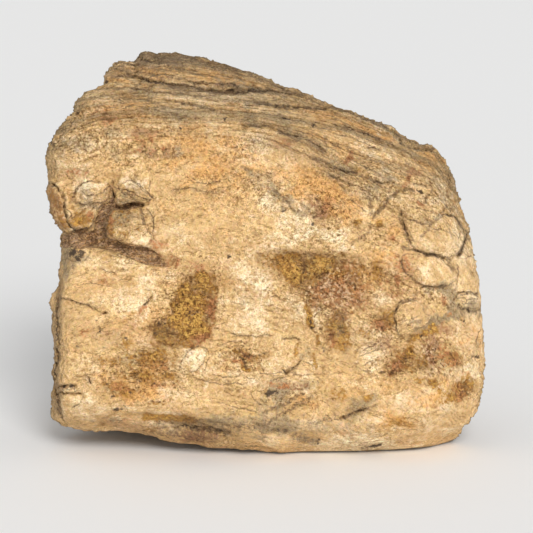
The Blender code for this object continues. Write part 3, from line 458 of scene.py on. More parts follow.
# Soft strokes of each tone: points, width, strength.
STROKES = {
    "umber": [
        ([(-45, 78.5), (-39, 78.5), (-31.5, 77.5), (-24.5, 75.5), (-19, 74), (-12.5, 72.5),
          (-8, 71)], 1.8, 0.9),
        ([(-8, 70.5), (-1.5, 68.5), (5, 65.5), (12.5, 62.5), (21.5, 59)], 0.9, 0.8),
        ([(21.5, 59), (28.5, 57.5), (34, 55), (41.5, 52), (46, 49.5)], 1.3, 0.8),
        ([(47, 48), (50.5, 47), (54.5, 45.5), (59, 44), (62, 42.5)], 1.8, 0.6),
        ([(-42.5, 75.5), (-37, 74.5), (-31.5, 73.5)], 1.1, 0.4),
        ([(-56, 72.5), (-52, 72.5), (-46.5, 71), (-39, 69.5), (-31.5, 68.5),
          (-24.5, 67.5)], 1.1, 0.65),
        ([(-58, 68.5), (-54.5, 69.5), (-49, 69.5), (-44.5, 68.5), (-38, 67)], 0.9, 0.85),
        ([(-39, 67), (-33.5, 66), (-26, 65), (-19, 64), (-11.5, 64), (-6, 64), (-0.5, 64.5),
          (5, 64)], 1.6, 0.85),
        ([(-28, 67.5), (-22.5, 67.5), (-17, 66.5), (-9.5, 65.5)], 0.7, 0.7),
        ([(-50.5, 65), (-44.5, 64.5), (-39, 64), (-33.5, 63.5), (-26, 63)], 0.9, 0.65),
        ([(-55.5, 61), (-52, 62), (-46.5, 62), (-42.5, 60.5), (-39, 59), (-35.5, 57),
          (-31.5, 54.5), (-30, 53)], 1.3, 0.5),
        ([(-37, 61), (-33.5, 60.5), (-30, 59.5), (-26, 58.5)], 0.7, 0.7),
        ([(-28, 62.5), (-22.5, 61.5), (-17, 61), (-9.5, 60.5), (-2.5, 60.5)], 1.1, 0.6),
        ([(-6, 60.5), (-1.5, 60), (3, 58.5), (8.5, 58), (12.5, 58.5), (18, 58),
          (23, 57.5)], 1.1, 0.85),
        ([(5, 64), (10.5, 63), (16, 61), (21.5, 59.5)], 0.5, 0.6),
        ([(-26, 58.5), (-20.5, 57.5), (-15, 56.5), (-9.5, 56), (-1.5, 56.5), (3, 55.5),
          (8.5, 54.5)], 0.7, 0.5),
        ([(-9.5, 51.5), (-5.5, 52), (-0.5, 51.5), (3, 50), (7, 48), (11, 46.5), (16, 44),
          (19.5, 43), (22, 41)], 0.9, 0.75),
        ([(3, 50.5), (8, 49.5), (12.5, 48), (15, 46.5), (19, 44), (21.5, 42)], 0.7, 0.65),
        ([(22, 48), (22, 45), (22, 42)], 1.1, 0.55),
        ([(14, 41.5), (18, 39.5), (21.5, 38), (25, 36), (28.5, 35.5), (32.5, 34), (35, 32.5),
          (38.5, 31.5), (43.5, 30)], 1.3, 0.65),
        ([(23, 34), (26, 31.5), (28.5, 28.5), (30.5, 26)], 0.9, 0.5),
        ([(-1.5, 28), (2, 27), (5, 25), (7.5, 22.5)], 0.7, 0.5),
        ([(37.5, 26.5), (38, 22.5), (38.5, 18)], 1.5, 0.65),
        ([(40, 27), (41, 23)], 0.6, 0.6),
        ([(30.5, 7.5), (33, 9.5), (36, 11), (38, 14), (38.5, 17)], 0.9, 0.5),
        # Painted shade: this stroke and the next trace the shadows under the ledges of the bottom band.
        ([(8.5, -62), (14, -63.5), (19, -64)], 2.2, 0.5),
        ([(12.5, -57.5), (19.5, -56.5), (27, -56), (32.5, -53.5), (38, -52),
          (42.5, -49.5)], 1.1, 0.55),
        ([(2, 6), (7, 5.5), (12.5, 5.5), (18, 5), (23, 4)], 1.3, 0.4),
        ([(19.5, 24.5), (23, 22), (28.5, 21), (33.5, 20)], 0.7, 0.4),
        # Painted shade: the dark recess along the bottom, where the face turns under.
        ([(-42.5, -57.5), (-31.5, -57), (-19, -57.5), (-6, -58.5), (3, -57.5)], 3.3, 0.5),
        ([(39, 17), (40, 19.5), (42.5, 22), (43.5, 23.5)], 1.3, 0.75),
        ([(43.5, 23), (44.5, 24.5), (46.5, 26), (48, 27), (50, 27.5), (52, 28),
          (54.5, 27.5)], 1.1, 0.8),
        ([(60.5, 28), (60, 27), (59, 26), (58.5, 24.5), (58, 22.5)], 1.1, 0.75),
        ([(57.5, 22), (58.5, 20.5), (58.5, 18), (59, 16.5)], 0.5, 0.6),
        ([(63, 27.5), (64, 27.5), (65.5, 26.5), (67, 25.5)], 0.7, 0.7),
        ([(66, 24), (65.5, 22), (64.5, 20.5), (63, 19), (61.5, 16.5), (60, 15), (59, 13),
          (57.5, 11), (56.5, 9.5)], 0.9, 0.65),
        ([(69.5, 16.5), (71, 15), (72.5, 13), (73, 12.5)], 0.7, 0.7),
        ([(49, 20.5), (49, 18.5), (49.5, 16.5), (50.5, 14), (51, 12), (52, 9.5),
          (53, 8)], 1.5, 0.65),
        ([(49, 7.5), (52, 6.5), (54.5, 6), (57, 5.5), (58.5, 4), (61.5, 4), (64, 3.5)], 0.9, 0.85),
        ([(73.5, 12.5), (73, 10.5), (72, 8), (71, 5.5), (70, 3.5)], 1, 0.95),
        ([(67.5, 3.5), (67, 1.5), (67.5, 0), (68.5, -2)], 1.5, 0.6),
        ([(69.5, 13), (70, 10.5)], 0.7, 0.5),
        ([(47.5, 3.5), (49, 1.5), (50, -0.5), (51, -2), (53, -3), (54.5, -5),
          (55.5, -6.5)], 0.9, 0.6),
        ([(56, -7), (58, -7), (60, -8), (62.5, -8), (64.5, -7.5), (66.5, -7)], 0.6, 0.75),
        ([(55, -12), (52.5, -12.5), (50.5, -13), (49, -13.5), (47.5, -15), (47, -17)], 1, 0.75),
        ([(44.5, 26.5), (44.5, 28), (45.5, 29)], 0.7, 0.5),
        ([(-56.5, 28), (-56, 26), (-56, 23.5)], 0.7, 0.9),
        ([(-56, 33.5), (-56, 31.5), (-56, 29)], 0.9, 0.45),
        ([(-46, 22), (-46, 19.5), (-45.5, 17), (-45, 15)], 1, 0.9),
        ([(69.5, -13.5), (69, -11.5), (70.5, -10), (72.5, -9.5), (75, -10), (78, -9.5)], 0.5, 0.6),
        ([(50.5, -27.5), (52.5, -27), (54.5, -24.5)], 1.1, 0.5),
        # Darkens the left rim; so does the stroke along x -79 below.
        ([(-76.5, -2), (-76.5, -20), (-77, -36), (-77.5, -50), (-74, -57)], 2.4, 0.55),
        # Painted shade: this stroke traces the shadow of a fold in the bottom band, and the next the
        # deep shade of the recess below it.
        ([(-1.5, -53.5), (5, -51), (10, -48.5), (15, -46.3)], 1.0, 0.7),
        ([(-24, -59.5), (-19, -60), (-12.5, -60.5)], 1.4, 0.8),
        ([(-79, -14), (-79.5, -20), (-78.5, -30), (-79, -45), (-79, -55)], 2.4, 0.6),
        # Painted shade under a ledge of the bottom band.
        ([(16, -58), (24, -56.5), (32, -54), (39, -52)], 0.9, 0.6),
        ([(-11, -29.5), (-9.5, -31.5), (-7, -33), (-4.5, -33), (-1.5, -31.5), (1.5, -31.5)], 0.5, 0.7),
        ([(-9.5, -33), (-8.5, -35.5), (-7, -37.5)], 0.6, 0.9),
        # Painted shade: the shadow in the groove low on the bottom band, and in a small pocket further
        # right.
        ([(-30, -59), (-22, -59.5), (-16, -61)], 2.2, 0.5), ([(2, -60.3), (8, -60.5)], 1.6, 0.6),
        # Painted shade along the right rim, where the surface turns away.
        ([(73.5, 27), (75, 20), (76.8, 12), (78, 4), (79, -4), (79.5, -12)], 1.6, 0.7),
        ([(-11, 36.5), (-6, 36), (-1, 34.5), (4, 33)], 0.8, 0.55),
        ([(2, 28), (6, 26), (9, 22), (11, 19)], 0.8, 0.65),
        ([(12, 24), (15, 21), (18, 17)], 0.9, 0.6), ([(5, 21.5), (8, 21)], 0.9, 0.7),
        ([(16, 27), (19, 23.5), (20.5, 19)], 0.8, 0.55),
        # Painted shade: this stroke traces the dark valley under a ledge of the bottom band, and the
        # next the soft shadow below that ledge.
        ([(-4, -59.8), (1, -56.5), (5.7, -53.6), (11, -51), (15.5, -48.9), (18.5, -45.9)], 1.8, 0.65),
        ([(8, -56), (18, -55), (28, -55.5)], 2.2, 0.35),
    ],
    "rust": [
        ([(-57.5, 67.5), (-50, 67), (-42.5, 66.5)], 1.1, 0.6),
        ([(-56, 75), (-53, 75), (-49, 74)], 0.9, 0.6),
        ([(-22.5, 69.5), (-15, 68.5), (-8, 67), (-1.5, 65.5)], 1.8, 0.8),
        ([(-39.5, 74), (-33.5, 72.5), (-27.5, 71)], 1.1, 0.6),
        ([(-22.5, 59), (-13.5, 58), (-6, 58), (7, 57.5), (12.5, 57.5)], 1.1, 0.5),
        ([(20.5, 55), (28.5, 53.5), (34, 51.5), (38.5, 49), (43.5, 47.5), (47, 46)], 2.6, 0.9),
        ([(-9.5, -49.5), (-15, -47.5)], 1.1, 0.3),
    ],
    "red": [
        ([(31.5, 42.5), (30, 39.5), (28.5, 37)], 1.3, 0.85),
        ([(34, 35), (35.5, 33), (36.5, 32.5)], 0.9, 0.9),
        ([(27, 51), (32.5, 50), (38, 48.5), (43.5, 46.5)], 0.7, 0.6),
        ([(-43.5, -13.5), (-45.5, -16), (-47.5, -18)], 1.5, 0.4),
        ([(-16.5, -33.5), (-11.5, -34.5), (-8.5, -35.5)], 1.6, 0.55),
        ([(-12.5, -46.5), (-7, -47.5)], 1.5, 0.4),
        ([(-0.5, -43), (5, -43.5), (9.5, -43.5)], 1.5, 0.75),
        ([(-46.5, 49.5), (-43.5, 47), (-41, 44.5), (-37, 42.5)], 1.8, 0.5),
        ([(47, 11), (43.5, 8.5), (39.5, 9.5)], 1.8, 0.5),
        ([(53.5, 37), (53.5, 34.5), (52, 32.5), (51.5, 30), (49.5, 28.5)], 1.8, 0.8),
        ([(50.5, 34), (53.5, 34), (57.5, 34)], 1, 0.85),
        ([(55, 24), (56.5, 23), (58, 22)], 1.1, 0.85),
        ([(60.5, 31), (60, 28)], 1.1, 0.6),
        ([(-54.5, 36), (-54, 34), (-54.5, 32.5)], 1.1, 0.6),
        ([(-43.5, 9.5), (-41, 8), (-39, 5.5), (-39.5, 3)], 1.5, 0.55),
        ([(-65.5, 20.5), (-64, 19.5)], 1.8, 0.7),
        ([(63.5, -11), (66, -12.5), (63.5, -14)], 1.8, 0.5),
        ([(66, -18), (68, -17.5)], 1.1, 0.6),
        ([(47, -3), (48, -6), (49, -7.5)], 2.2, 0.7),
        ([(43.5, -9.5), (47, -11), (50.5, -9.5)], 1.5, 0.6),
        ([(-66.5, 19.5), (-64.5, 18.5)], 1.6, 0.9), ([(-56.8, 18.5), (-57, 15)], 1.0, 0.9),
        ([(-10, -31), (-7.5, -33.5), (-4, -33)], 1.2, 0.7),
    ],
    "ochre": [
        ([(-46.5, -56), (-41, -55), (-35.5, -55.5), (-30, -56), (-25, -56.5)], 2.2, 0.95),
        ([(13.5, -6), (15, -10.5), (15, -14), (15.5, -19), (16.5, -23)], 2.0, 0.9),
        ([(19, -24.5), (19, -27.5), (18.5, -30)], 1.3, 0.8),
        ([(17, -31.5), (18, -35.5), (18.5, -38)], 1.1, 0.6),
        ([(12, -27.5), (11, -30), (10.5, -33)], 0.7, 0.75),
        ([(24.5, -28.5), (26, -26), (28.5, -24.5)], 2.9, 0.85),
        ([(30.5, -16.5), (34, -16.5), (38.5, -15)], 0.9, 0.6),
        ([(53.5, -30.5), (50, -34), (46.5, -37)], 2.9, 0.95),
        ([(51.5, -28), (54.5, -26), (57.5, -24.5), (60, -23.5)], 1.8, 0.9),
        ([(61, -21), (62, -23.5)], 1.2, 0.9),
        ([(-57.5, 19.5), (-58, 16.5), (-57.5, 13.5), (-56.5, 11.5)], 1.5, 0.8),
        ([(-55.5, 13.5), (-53, 12.5), (-50, 11)], 1.3, 0.75),
        ([(-54.5, 20), (-50.5, 19.5), (-47, 21)], 1.1, 0.6),
        ([(-66.5, 19.5), (-66, 17), (-68.5, 15)], 2.9, 0.6),
        ([(-12.5, -30.5), (-9.5, -32.5), (-7, -34), (-3.5, -33.5), (1.5, -32)], 1.8, 0.7),
        ([(-10, -34), (-8, -37.5), (-5, -38)], 1.6, 0.8),
        ([(-67.5, 19), (-65.5, 18.5), (-64, 17)], 2.6, 0.8), ([(-72, 15), (-70, 17.5)], 1.8, 0.5),
        ([(-57.5, 19.5), (-58, 16.5), (-57.5, 13.5), (-56, 11)], 2.0, 0.9),
    ],
    "plum": [
        ([(53.5, -11), (58, -11), (63.5, -13.5)], 2.2, 0.35),
        ([(23, -8.5), (28.5, -11.5), (34, -12.5)], 2.9, 0.8),
        ([(58, -27.5), (59.5, -31.5), (61, -36.5)], 2.9, 0.85),
        ([(63.5, -20.5), (65.5, -22.5), (67, -25.5)], 3.3, 0.7),
        ([(58, -27.5), (61, -28)], 2.9, 0.7),
    ],
    "pale": [
        ([(-50, 72), (-47, 71.5), (-43.5, 70.5)], 0.5, 0.9),
        ([(-47.5, 64), (-42.5, 63.5), (-38, 63)], 0.7, 0.9),
        ([(-38, 62.5), (-30, 61.5), (-22.5, 61.5), (-15, 60.5)], 0.7, 0.55),
        ([(-15, 60.5), (-8.5, 59.5), (-1.5, 59)], 0.6, 0.8),
        ([(-43.5, 68.5), (-39, 66.5), (-33.5, 65.5)], 0.5, 0.5),
        ([(-76.5, -45), (-72, -45), (-66.5, -45.5)], 0.6, 0.7),
        ([(-23, -41), (-22.5, -46)], 0.9, 0.9),
        ([(10.5, 22.5), (12.5, 17), (16.5, 12.5), (23, 11)], 4.4, 0.7),
        ([(-1.5, 26), (0.5, 22)], 2.6, 0.9),
        ([(70, -20.5), (70, -24.5), (69.5, -28.5)], 0.7, 0.7),
        ([(60.5, -28.5), (63.5, -32.5), (66, -35.5)], 0.9, 0.7),
        ([(69, 13), (71.5, 11.5), (70, 8.5)], 0.9, 0.5),
        ([(8, -11), (11, -14.5), (13, -18)], 2.2, 0.6),
        ([(46.5, -49.5), (52, -48), (56, -49)], 2.9, 0.8),
        ([(-5, -40), (-4.5, -43.5)], 0.8, 0.9),
        ([(-58.5, 18.5), (-58.5, 15), (-57.5, 11.5)], 0.5, 0.8),
        ([(62, 17.5), (63, 19)], 1.1, 0.6),
        ([(-65.5, 29.5), (-61.5, 29.5), (-58.5, 30)], 2.6, 0.7),
        ([(-53.5, 30.5), (-49, 29.5), (-45.5, 27)], 2.2, 0.7),
        ([(60, 1.5), (56, -1.5), (58, -5)], 3.7, 0.4),
    ],
    "dirt": [
        ([(-46, 76.5), (-46, 75)], 0.7, 0.9),
        ([(-45, 76), (-42.5, 75), (-40, 75)], 0.7, 0.6),
        ([(-59.5, 68), (-58, 68.5)], 0.8, 0.9),
        ([(-41, 67.5), (-37.5, 67)], 0.7, 0.6),
        ([(-70, 56), (-68.5, 55.5)], 0.9, 0.7),
        ([(6, 54.5), (9.5, 54)], 0.7, 0.7),
        ([(16, 51), (18, 52)], 0.7, 0.7),
        ([(-8, 64), (-5.5, 64.5), (-1.5, 64)], 0.9, 0.5),
        ([(2, 58.5), (8, 58)], 0.7, 0.5),
        # Painted shade: this stroke and the next trace the shadow in the groove low on the bottom band.
        ([(-34.5, -59), (-30, -58.5), (-24.5, -60), (-19, -59.5)], 1.1, 0.3),
        ([(-19.5, -60), (-16.5, -61.5)], 1.1, 0.3),
        ([(15.5, -18), (16.5, -23.5)], 1, 0.65),
        ([(19, -62.5), (19, -65.5)], 0.7, 0.7),
        ([(34, -67), (38.5, -65.5), (43, -65.5)], 0.8, 0.7),
        ([(74.5, -33), (78.5, -33)], 0.7, 0.7),
        ([(70.5, -20), (73, -20)], 0.6, 0.7),
        ([(41, -39), (44.5, -38.5), (48, -39.5)], 0.7, 0.6),
        ([(26, -22), (27.5, -22), (28, -23.5), (27, -24.5), (26, -23.5)], 0.6, 0.35),
        ([(-76.5, -44), (-72.5, -44), (-69.5, -44)], 0.6, 0.6),
        ([(-69.5, 5.5), (-67, 6), (-67, 4.5), (-68.5, 4), (-70, 3), (-68, 2.5)], 0.9, 1),
        ([(55.5, -26), (57.5, -24.5)], 0.9, 0.7),
        ([(56, 28), (57.5, 26.5)], 0.8, 0.85),
        ([(67, 33), (67, 31.5), (68, 31)], 0.7, 0.7),
        ([(-64.5, 19.5), (-64, 19)], 0.7, 0.6),
        ([(-71, 12.5), (-69, 12.5), (-67, 11)], 0.7, 0.5),
        ([(73.5, -16.5), (74.5, -16.5)], 0.7, 0.8),
    ],
    "grey": [
        ([(55, -24.5), (58, -22.5), (61.5, -20.5), (64.5, -19), (67, -18), (71, -17)], 2.6, 0.95),
        ([(66.5, -8), (61.5, -9), (58, -9), (55, -9.5), (53, -11)], 1.8, 0.5),
        ([(68, -8), (69, -10.5), (68, -13.5), (65.5, -15.5)], 2.6, 0.7),
        ([(69, -14.5), (72.5, -16), (77.5, -16.5)], 1.8, 0.8),
        ([(49, 27.5), (52, 28.5)], 1.8, 0.6),
        ([(-68.5, 23), (-64, 23), (-60, 23)], 1.5, 0.5),
        ([(-54.5, 27.5), (-50.5, 25), (-48, 23)], 2.9, 0.6),
        ([(-44, 21.5), (-42.5, 19), (-42.5, 15), (-43.5, 13)], 1.8, 0.55),
        ([(-74, 3), (-73.5, 0), (-73.5, -2.5)], 2.9, 0.8),
        ([(-70.5, 1.5), (-67, 1.5), (-65.5, 4)], 1.5, 0.6),
        ([(-12, 37), (-5, 34.5), (0, 31), (5, 27), (9, 23.5), (13, 19.5), (18, 16)], 2.4, 0.5),
    ],
}

# How far strokes of a tone stand out: dark streaks lie low, pale ones stand up.
TONE_HEIGHTS = (("umber", -0.45), ("dirt", -0.6), ("pale", 0.3))

# How far the rim of the seen face moves: place along the rim, shift outwards.
TOP_SHIFTS = [
    (-76, -0.2), (-68, 0), (-60, 0.4), (-50.5, 0), (-48.1, -0.9), (-46.7, 0), (-45.6, 0.5), (-44, 0.4),
    (-42.6, -0.2), (-40, -1.1), (-37, -0.5), (-33.5, 0), (-24.3, 0.7), (-17, 0.4), (-2.4, 0.4),
    (1.3, -0.3), (5, -1.1), (12, -0.7), (20, -1.1), (27, -1.5), (34, -1.1), (38, 0), (42, 0.4),
    (49, 0.4), (56, -0.7), (62, 0),
]
RIGHT_SHIFTS = [
    (-66, 2.2), (-63.5, 2.2), (-58, -0.5), (-52, 0), (0, 0.5), (8, 0.7), (13.4, 0.4), (18.8, -0.9),
    (24, -0.3), (29.8, 0.6), (35.3, 1.8), (38, 1.4), (40.8, 0.7), (44, 0),
]
LEFT_SHIFTS = [
    (-60, 2.2), (-57, 2.0), (-52.5, 0.7), (-40, 0.2), (-14, 0.6), (-6, -0.3), (8, -0.7), (13.4, -1.1),
    (19, 0), (24, -0.6), (30, -0.3), (36, 0.7), (41, 0.7), (46, 0.2), (51.8, -0.2), (57, 0), (60, 0),
]
RIM_REACH = 14.0            # millimetres inwards over which those shifts fade out

# How rough or how smooth each place is: x, h, half width, half height, turn, strength.
PITTED = [
    (-29, -15, 9, 13, -20, 1.0), (22, -6, 18, 10, -8, 1.0), (50, -36, 9, 5, 5, 0.9),
    (61, -32, 4, 7, 5, 1.1), (43, -24, 7, 6, 0, 0.9), (20, -18, 5, 7, 0, 1.0), (-2, 28, 12, 6, 0, 0.7),
    (22, 20, 8, 8, 0, 0.9), (-44, -38, 16, 8, 0, 0.8), (62, -11.5, 7, 3, 0, 0.7),
    (71, -46, 4, 3, 0, 0.9), (-50, 45, 18, 8, 0, 0.7), (50, -5, 6, 5, 0, 0.6), (40, -3, 8, 4, 0, 0.7),
    (-9, -33, 8, 4, 0, 0.9), (4, -46, 5, 3, 0, 0.6), (-66, 48, 10, 8, 0, 0.7), (-8, 44, 8, 6, 0, 0.6),
    (-52, 16, 8, 6, 0, 0.6), (-10, 30, 14, 5, 0, 0.5), (14, 10, 12, 4, 0, 0.5), (40, 12, 6, 6, 0, 0.5),
    (40, 30, 16, 8, -20, 0.5), (60, 24, 10, 8, 0, 0.3), (64, -34, 8, 6, 0, 0.6),
]
SMOOTH = [
    (-27, -33.5, 4, 5, -40, 0.8), (62, -2.5, 7, 4, -10, 0.7), (60, 10, 9, 5, 0, 0.6),
    (74, -26, 5, 8, 0, 0.9), (38, -33, 7, 5, 0, 0.8), (70, -54, 14, 7, 20, 0.8),
    (53, -19, 5, 5, 0, 0.7), (75, -12, 4, 3, 0, 0.5), (-66, -34, 10, 14, 0, 0.3),
    (-45, 9, 4, 3, 0, 0.5), (50, -50, 8, 3, 0, 0.5), (8, 33, 14, 5, -10, 0.25),
    (-20, 38, 14, 8, 0, 0.3), (-30, 72, 26, 3, -8, 0.4), (-67, -52, 8, 5, 0, 0.4),
]


class StoneSizes(bpy.types.PropertyGroup):
    """How fine the stone's mesh is and how deep its surface is carved."""

    voxel: FloatProperty(
        name="Voxel", description="Grid size of the remeshed stone", default=0.0006,
        min=0.0003, subtype="DISTANCE", unit="LENGTH")
    front_share: FloatProperty(
        name="Front share", description="Share of the faces kept on the front", default=0.80,
        min=0.05, max=1.0, subtype="FACTOR")
    rest_share: FloatProperty(
        name="Rest share", description="Share of the faces kept on the sides and back",
        default=0.26, min=0.05, max=1.0, subtype="FACTOR")
    lumps: FloatProperty(
        name="Lumps", description="Height of the broad lumps", default=0.0007,
        subtype="DISTANCE", unit="LENGTH")
    grain: FloatProperty(
        name="Grain", description="Height of the ridges along the wood grain", default=0.0012,
        subtype="DISTANCE", unit="LENGTH")
    flakes: FloatProperty(
        name="Flakes", description="Height of the small broken steps", default=0.0008,
        subtype="DISTANCE", unit="LENGTH")
    grit: FloatProperty(
        name="Grit", description="Height of the fine grit", default=0.00016,
        subtype="DISTANCE", unit="LENGTH")
    crack_depth: FloatProperty(
        name="Crack depth", description="Depth of the cracks against their listed depth",
        default=1.0, min=0.0, subtype="FACTOR")


def colour_property(name, description, colour):
    """A colour that a user may change."""
    return FloatVectorProperty(
        name=name, description=description, default=colour, size=4, min=0.0, max=1.0,
        subtype="COLOR")


class StoneColours(bpy.types.PropertyGroup):
    """Tones of the stone."""

    # Grey, umber and dirt also serve as painted shade: low on the face, along the top and right rims,
    # and on the sides and back. Pale also serves as painted light in a few spots.
    cream: colour_property("Cream", "Main tone of the silica", (0.72, 0.470, 0.205, 1))
    pale: colour_property("Pale", "Clean silica", (0.86, 0.640, 0.360, 1))
    rust: colour_property("Orange tan", "Iron-tinted areas", (0.66, 0.355, 0.115, 1))
    yellow: colour_property("Yellow", "Thin wash of ochre", (0.68, 0.43, 0.14, 1))
    pink: colour_property("Pink", "Thin wash of iron red", (0.61, 0.34, 0.165, 1))
    red: colour_property("Red", "Reddish-brown marks", (0.42, 0.180, 0.062, 1))
    ochre: colour_property("Ochre", "Olive-brown stain", (0.35, 0.165, 0.028, 1))
    gold: colour_property("Gold", "Bright grains of the stain", (0.59, 0.330, 0.073, 1))
    plum: colour_property("Plum", "Purple-brown stain", (0.365, 0.188, 0.082, 1))
    grey: colour_property("Grey", "Grey-olive weathering", (0.38, 0.265, 0.130, 1))
    umber: colour_property("Umber", "Dark streaks of the grain", (0.150, 0.092, 0.045, 1))
    dirt: colour_property("Dirt", "Near-black specks", (0.050, 0.030, 0.018, 1))
    channel: colour_property("Channel", "Fibrous brown between the chips", (0.30, 0.180, 0.090, 1))
    crack: colour_property("Crack", "Dirt in the cracks", (0.060, 0.036, 0.020, 1))


class StageLook(bpy.types.PropertyGroup):
    """Floor, lights and eye."""

    floor_colour: colour_property("Floor", "Pale floor", (0.93, 0.93, 0.925, 1))
    floor_size: FloatProperty(
        name="Floor size", description="Side of the square floor", default=12.0,
        subtype="DISTANCE", unit="LENGTH")
    world_strength: FloatProperty(
        name="Surroundings", description="Strength of the even light", default=0.5, min=0.0)
    key_strength: FloatProperty(
        name="Key light", description="Strength of the front light", default=1.92, min=0.0)
    key_softness: FloatProperty(
        name="Softness", description="Width of the lights as seen from the stone",
        default=math.radians(24), subtype="ANGLE", unit="ROTATION")
    fill_strength: FloatProperty(
        name="Fill light", description="Strength of the low light", default=0.60, min=0.0)
    lens: FloatProperty(
        name="Lens", description="Focal length, in millimetres", default=184.5, min=1.0)


# ---------------------------------------------------------------- numbers on points

def smooth(value):
    """Ease from 0 to 1 as the value goes from 0 to 1."""
    value = np.clip(value, 0.0, 1.0)
    return value * value * (3 - 2 * value)


class Noise:
    """Gradient noise on points in millimetres, the same on every run."""

    def __init__(self, seed):
        pick = np.random.default_rng(seed)
        self.order = pick.permutation(256)
        slopes = pick.normal(size=(256, 3))
        self.slopes = slopes / np.linalg.norm(slopes, axis=1)[:, None]

    def cell_key(self, cell):
        """A number from 0 to 255 for each cell."""
        key = self.order[cell[:, 0] & 255]
        key = self.order[(key + cell[:, 1]) & 255]
        return self.order[(key + cell[:, 2]) & 255]

    def single(self, points):
        """One layer of noise, about -1 to 1, on a grid of unit cells."""
        cell = np.floor(points).astype(np.int64)
        within = points - cell
        ease = within ** 3 * (within * (within * 6 - 15) + 10)
        total = np.zeros(len(points))
        for corner in np.ndindex(2, 2, 2):
            corner = np.array(corner)
            slope = self.slopes[self.cell_key(cell + corner)]
            share = np.prod(np.where(corner == 1, ease, 1 - ease), axis=1)
            total += share * np.einsum("ij,ij->i", within - corner, slope)
        return total * 1.6

    def layered(self, points, size, layers=3, gain=0.5):
        """Several layers of noise, each half the size of the last."""
        total = np.zeros(len(points))
        height = 1.0
        for layer in range(layers):
            total += height * self.single(points / size + 17.3 * layer)
            size *= 0.5
            height *= gain
        return total

    def nearest(self, points, size):
        """Distance to the nearest of scattered seeds, in cells."""
        scaled = points / size
        cell = np.floor(scaled).astype(np.int64)
        least = np.full(len(points), 9.0)
        for step in np.ndindex(3, 3, 3):
            place = cell + np.array(step) - 1
            seed = place + 0.5 + 0.5 * self.slopes[self.cell_key(place)]
            least = np.minimum(least, np.linalg.norm(scaled - seed, axis=1))
        return least


NOISE = Noise(7)

# Sizes of the noise that carves the stone, in millimetres.
WOBBLE_SIZE = 6.0           # how far apart the slow turns of a line are
JAG_SIZE = 2.4              # the same for its small jags
LUMP_SIZE = 10.0
FLAKE_FIELD = 15.0          # a field that is cut into small broken steps
FLAKE_STEPS = 4.5           # how many of them it has
BROKEN_SIZE = 22.0          # areas that have them
STRATUM = 3.2               # thickness of the layers that show on the sides
GRIT_SIZE = 1.6
GRAIN_WIDTH, GRAIN_LENGTH = 1.5, 26.0
RIDGE_WIDTH, RIDGE_LENGTH = 0.9, 18.0

LIP_REACH = 4.0             # millimetres from a crack over which its raised lip falls off
LINE_REACH = 3.0            # millimetres from a line within which its distance is kept
FRONT_LIMIT = -0.12         # a face belongs to the front where its normal's d lies below this
MERGE_GAP = 0.00001         # metres within which the solid's corners are one


def turned(directions):
    """Directions in the face's frame."""
    x, y, z = np.asarray(directions, float).T
    return np.column_stack((
        x,
        y * math.sin(LEAN) + z * math.cos(LEAN),
        y * math.cos(LEAN) - z * math.sin(LEAN)))


def face_frame(points):
    """x, h and d in millimetres of points in metres."""
    return turned(np.asarray(points, float) / MM - np.array(FACE_ORIGIN))


def as_seen(place):
    """x and h as they appear from the front, on the plane of true size."""
    shrink = VIEW_DISTANCE / (VIEW_DISTANCE + place[:, 2] - AIM_DEPTH)
    return place[:, 0] * shrink, place[:, 1] * shrink


def spots(x, h, places):
    """Soft spots: the strongest one at each point."""
    strength = np.zeros(x.shape)
    for cx, ch, half_width, half_height, turn, amount in places:
        c, s = math.cos(math.radians(turn)), math.sin(math.radians(turn))
        a = ((x - cx) * c + (h - ch) * s) / half_width
        b = (-(x - cx) * s + (h - ch) * c) / half_height
        strength = np.maximum(strength, amount * np.exp(-0.7 * (a * a + b * b)))
    return strength


def rounded(path, closed=False):
    """A line of points with its corners cut off, twice."""
    path = np.array(path, float)
    for _ in range(2):
        after = np.roll(path, -1, axis=0) if closed else path[1:]
        before = path if closed else path[:-1]
        cut = np.stack((0.75 * before + 0.25 * after, 0.25 * before + 0.75 * after), axis=1)
        cut = cut.reshape(-1, 2)
        path = cut if closed else np.vstack((path[:1], cut, path[-1:]))
    return path


def line_gap(x, h, path, reach):
    """Signed distance to a line of points, positive on its left, and the part of the way along."""
    steps = np.hypot(*np.diff(path, axis=0).T)
    way = np.concatenate(([0.0], np.cumsum(steps))) / steps.sum()
    low, high = path.min(0) - reach, path.max(0) + reach
    near = np.flatnonzero((x > low[0]) & (x < high[0]) & (h > low[1]) & (h < high[1]))
    signed = np.full(x.shape, float(reach))
    share = np.zeros(x.shape)
    if not len(near):
        return signed, share
    px, ph = x[near], h[near]
    best = np.full(px.shape, float(reach))
    side = np.ones(px.shape)
    passed = np.zeros(px.shape)
    for (x0, h0), (x1, h1), start, end in zip(path[:-1], path[1:], way[:-1], way[1:]):
        run_x, run_h = x1 - x0, h1 - h0
        t = np.clip(((px - x0) * run_x + (ph - h0) * run_h) / (run_x ** 2 + run_h ** 2), 0, 1)
        gap = np.hypot(px - x0 - t * run_x, ph - h0 - t * run_h)
        turn = np.where(run_x * (ph - h0) - run_h * (px - x0) >= 0, 1.0, -1.0)
        nearer = gap < best - 1e-6
        side = np.where(nearer, turn, side)
        best = np.where(nearer, gap, best)
        passed = np.where(nearer, start + t * (end - start), passed)
    signed[near] = side * best
    share[near] = passed
    return signed, share


def strokes(x, h, places):
    """Soft strokes: the strongest one at each point."""
    strength = np.zeros(x.shape)
    for path, width, amount in places:
        gap, share = line_gap(x, h, rounded(path), width * 0.5 + 2.5)
        soft = 0.35 + 0.25 * width
        mark = smooth(0.5 + (0.5 * width - np.abs(gap)) / (2 * soft) + 0.15) * tapered(share)
        strength = np.maximum(strength, amount * mark)
    return strength


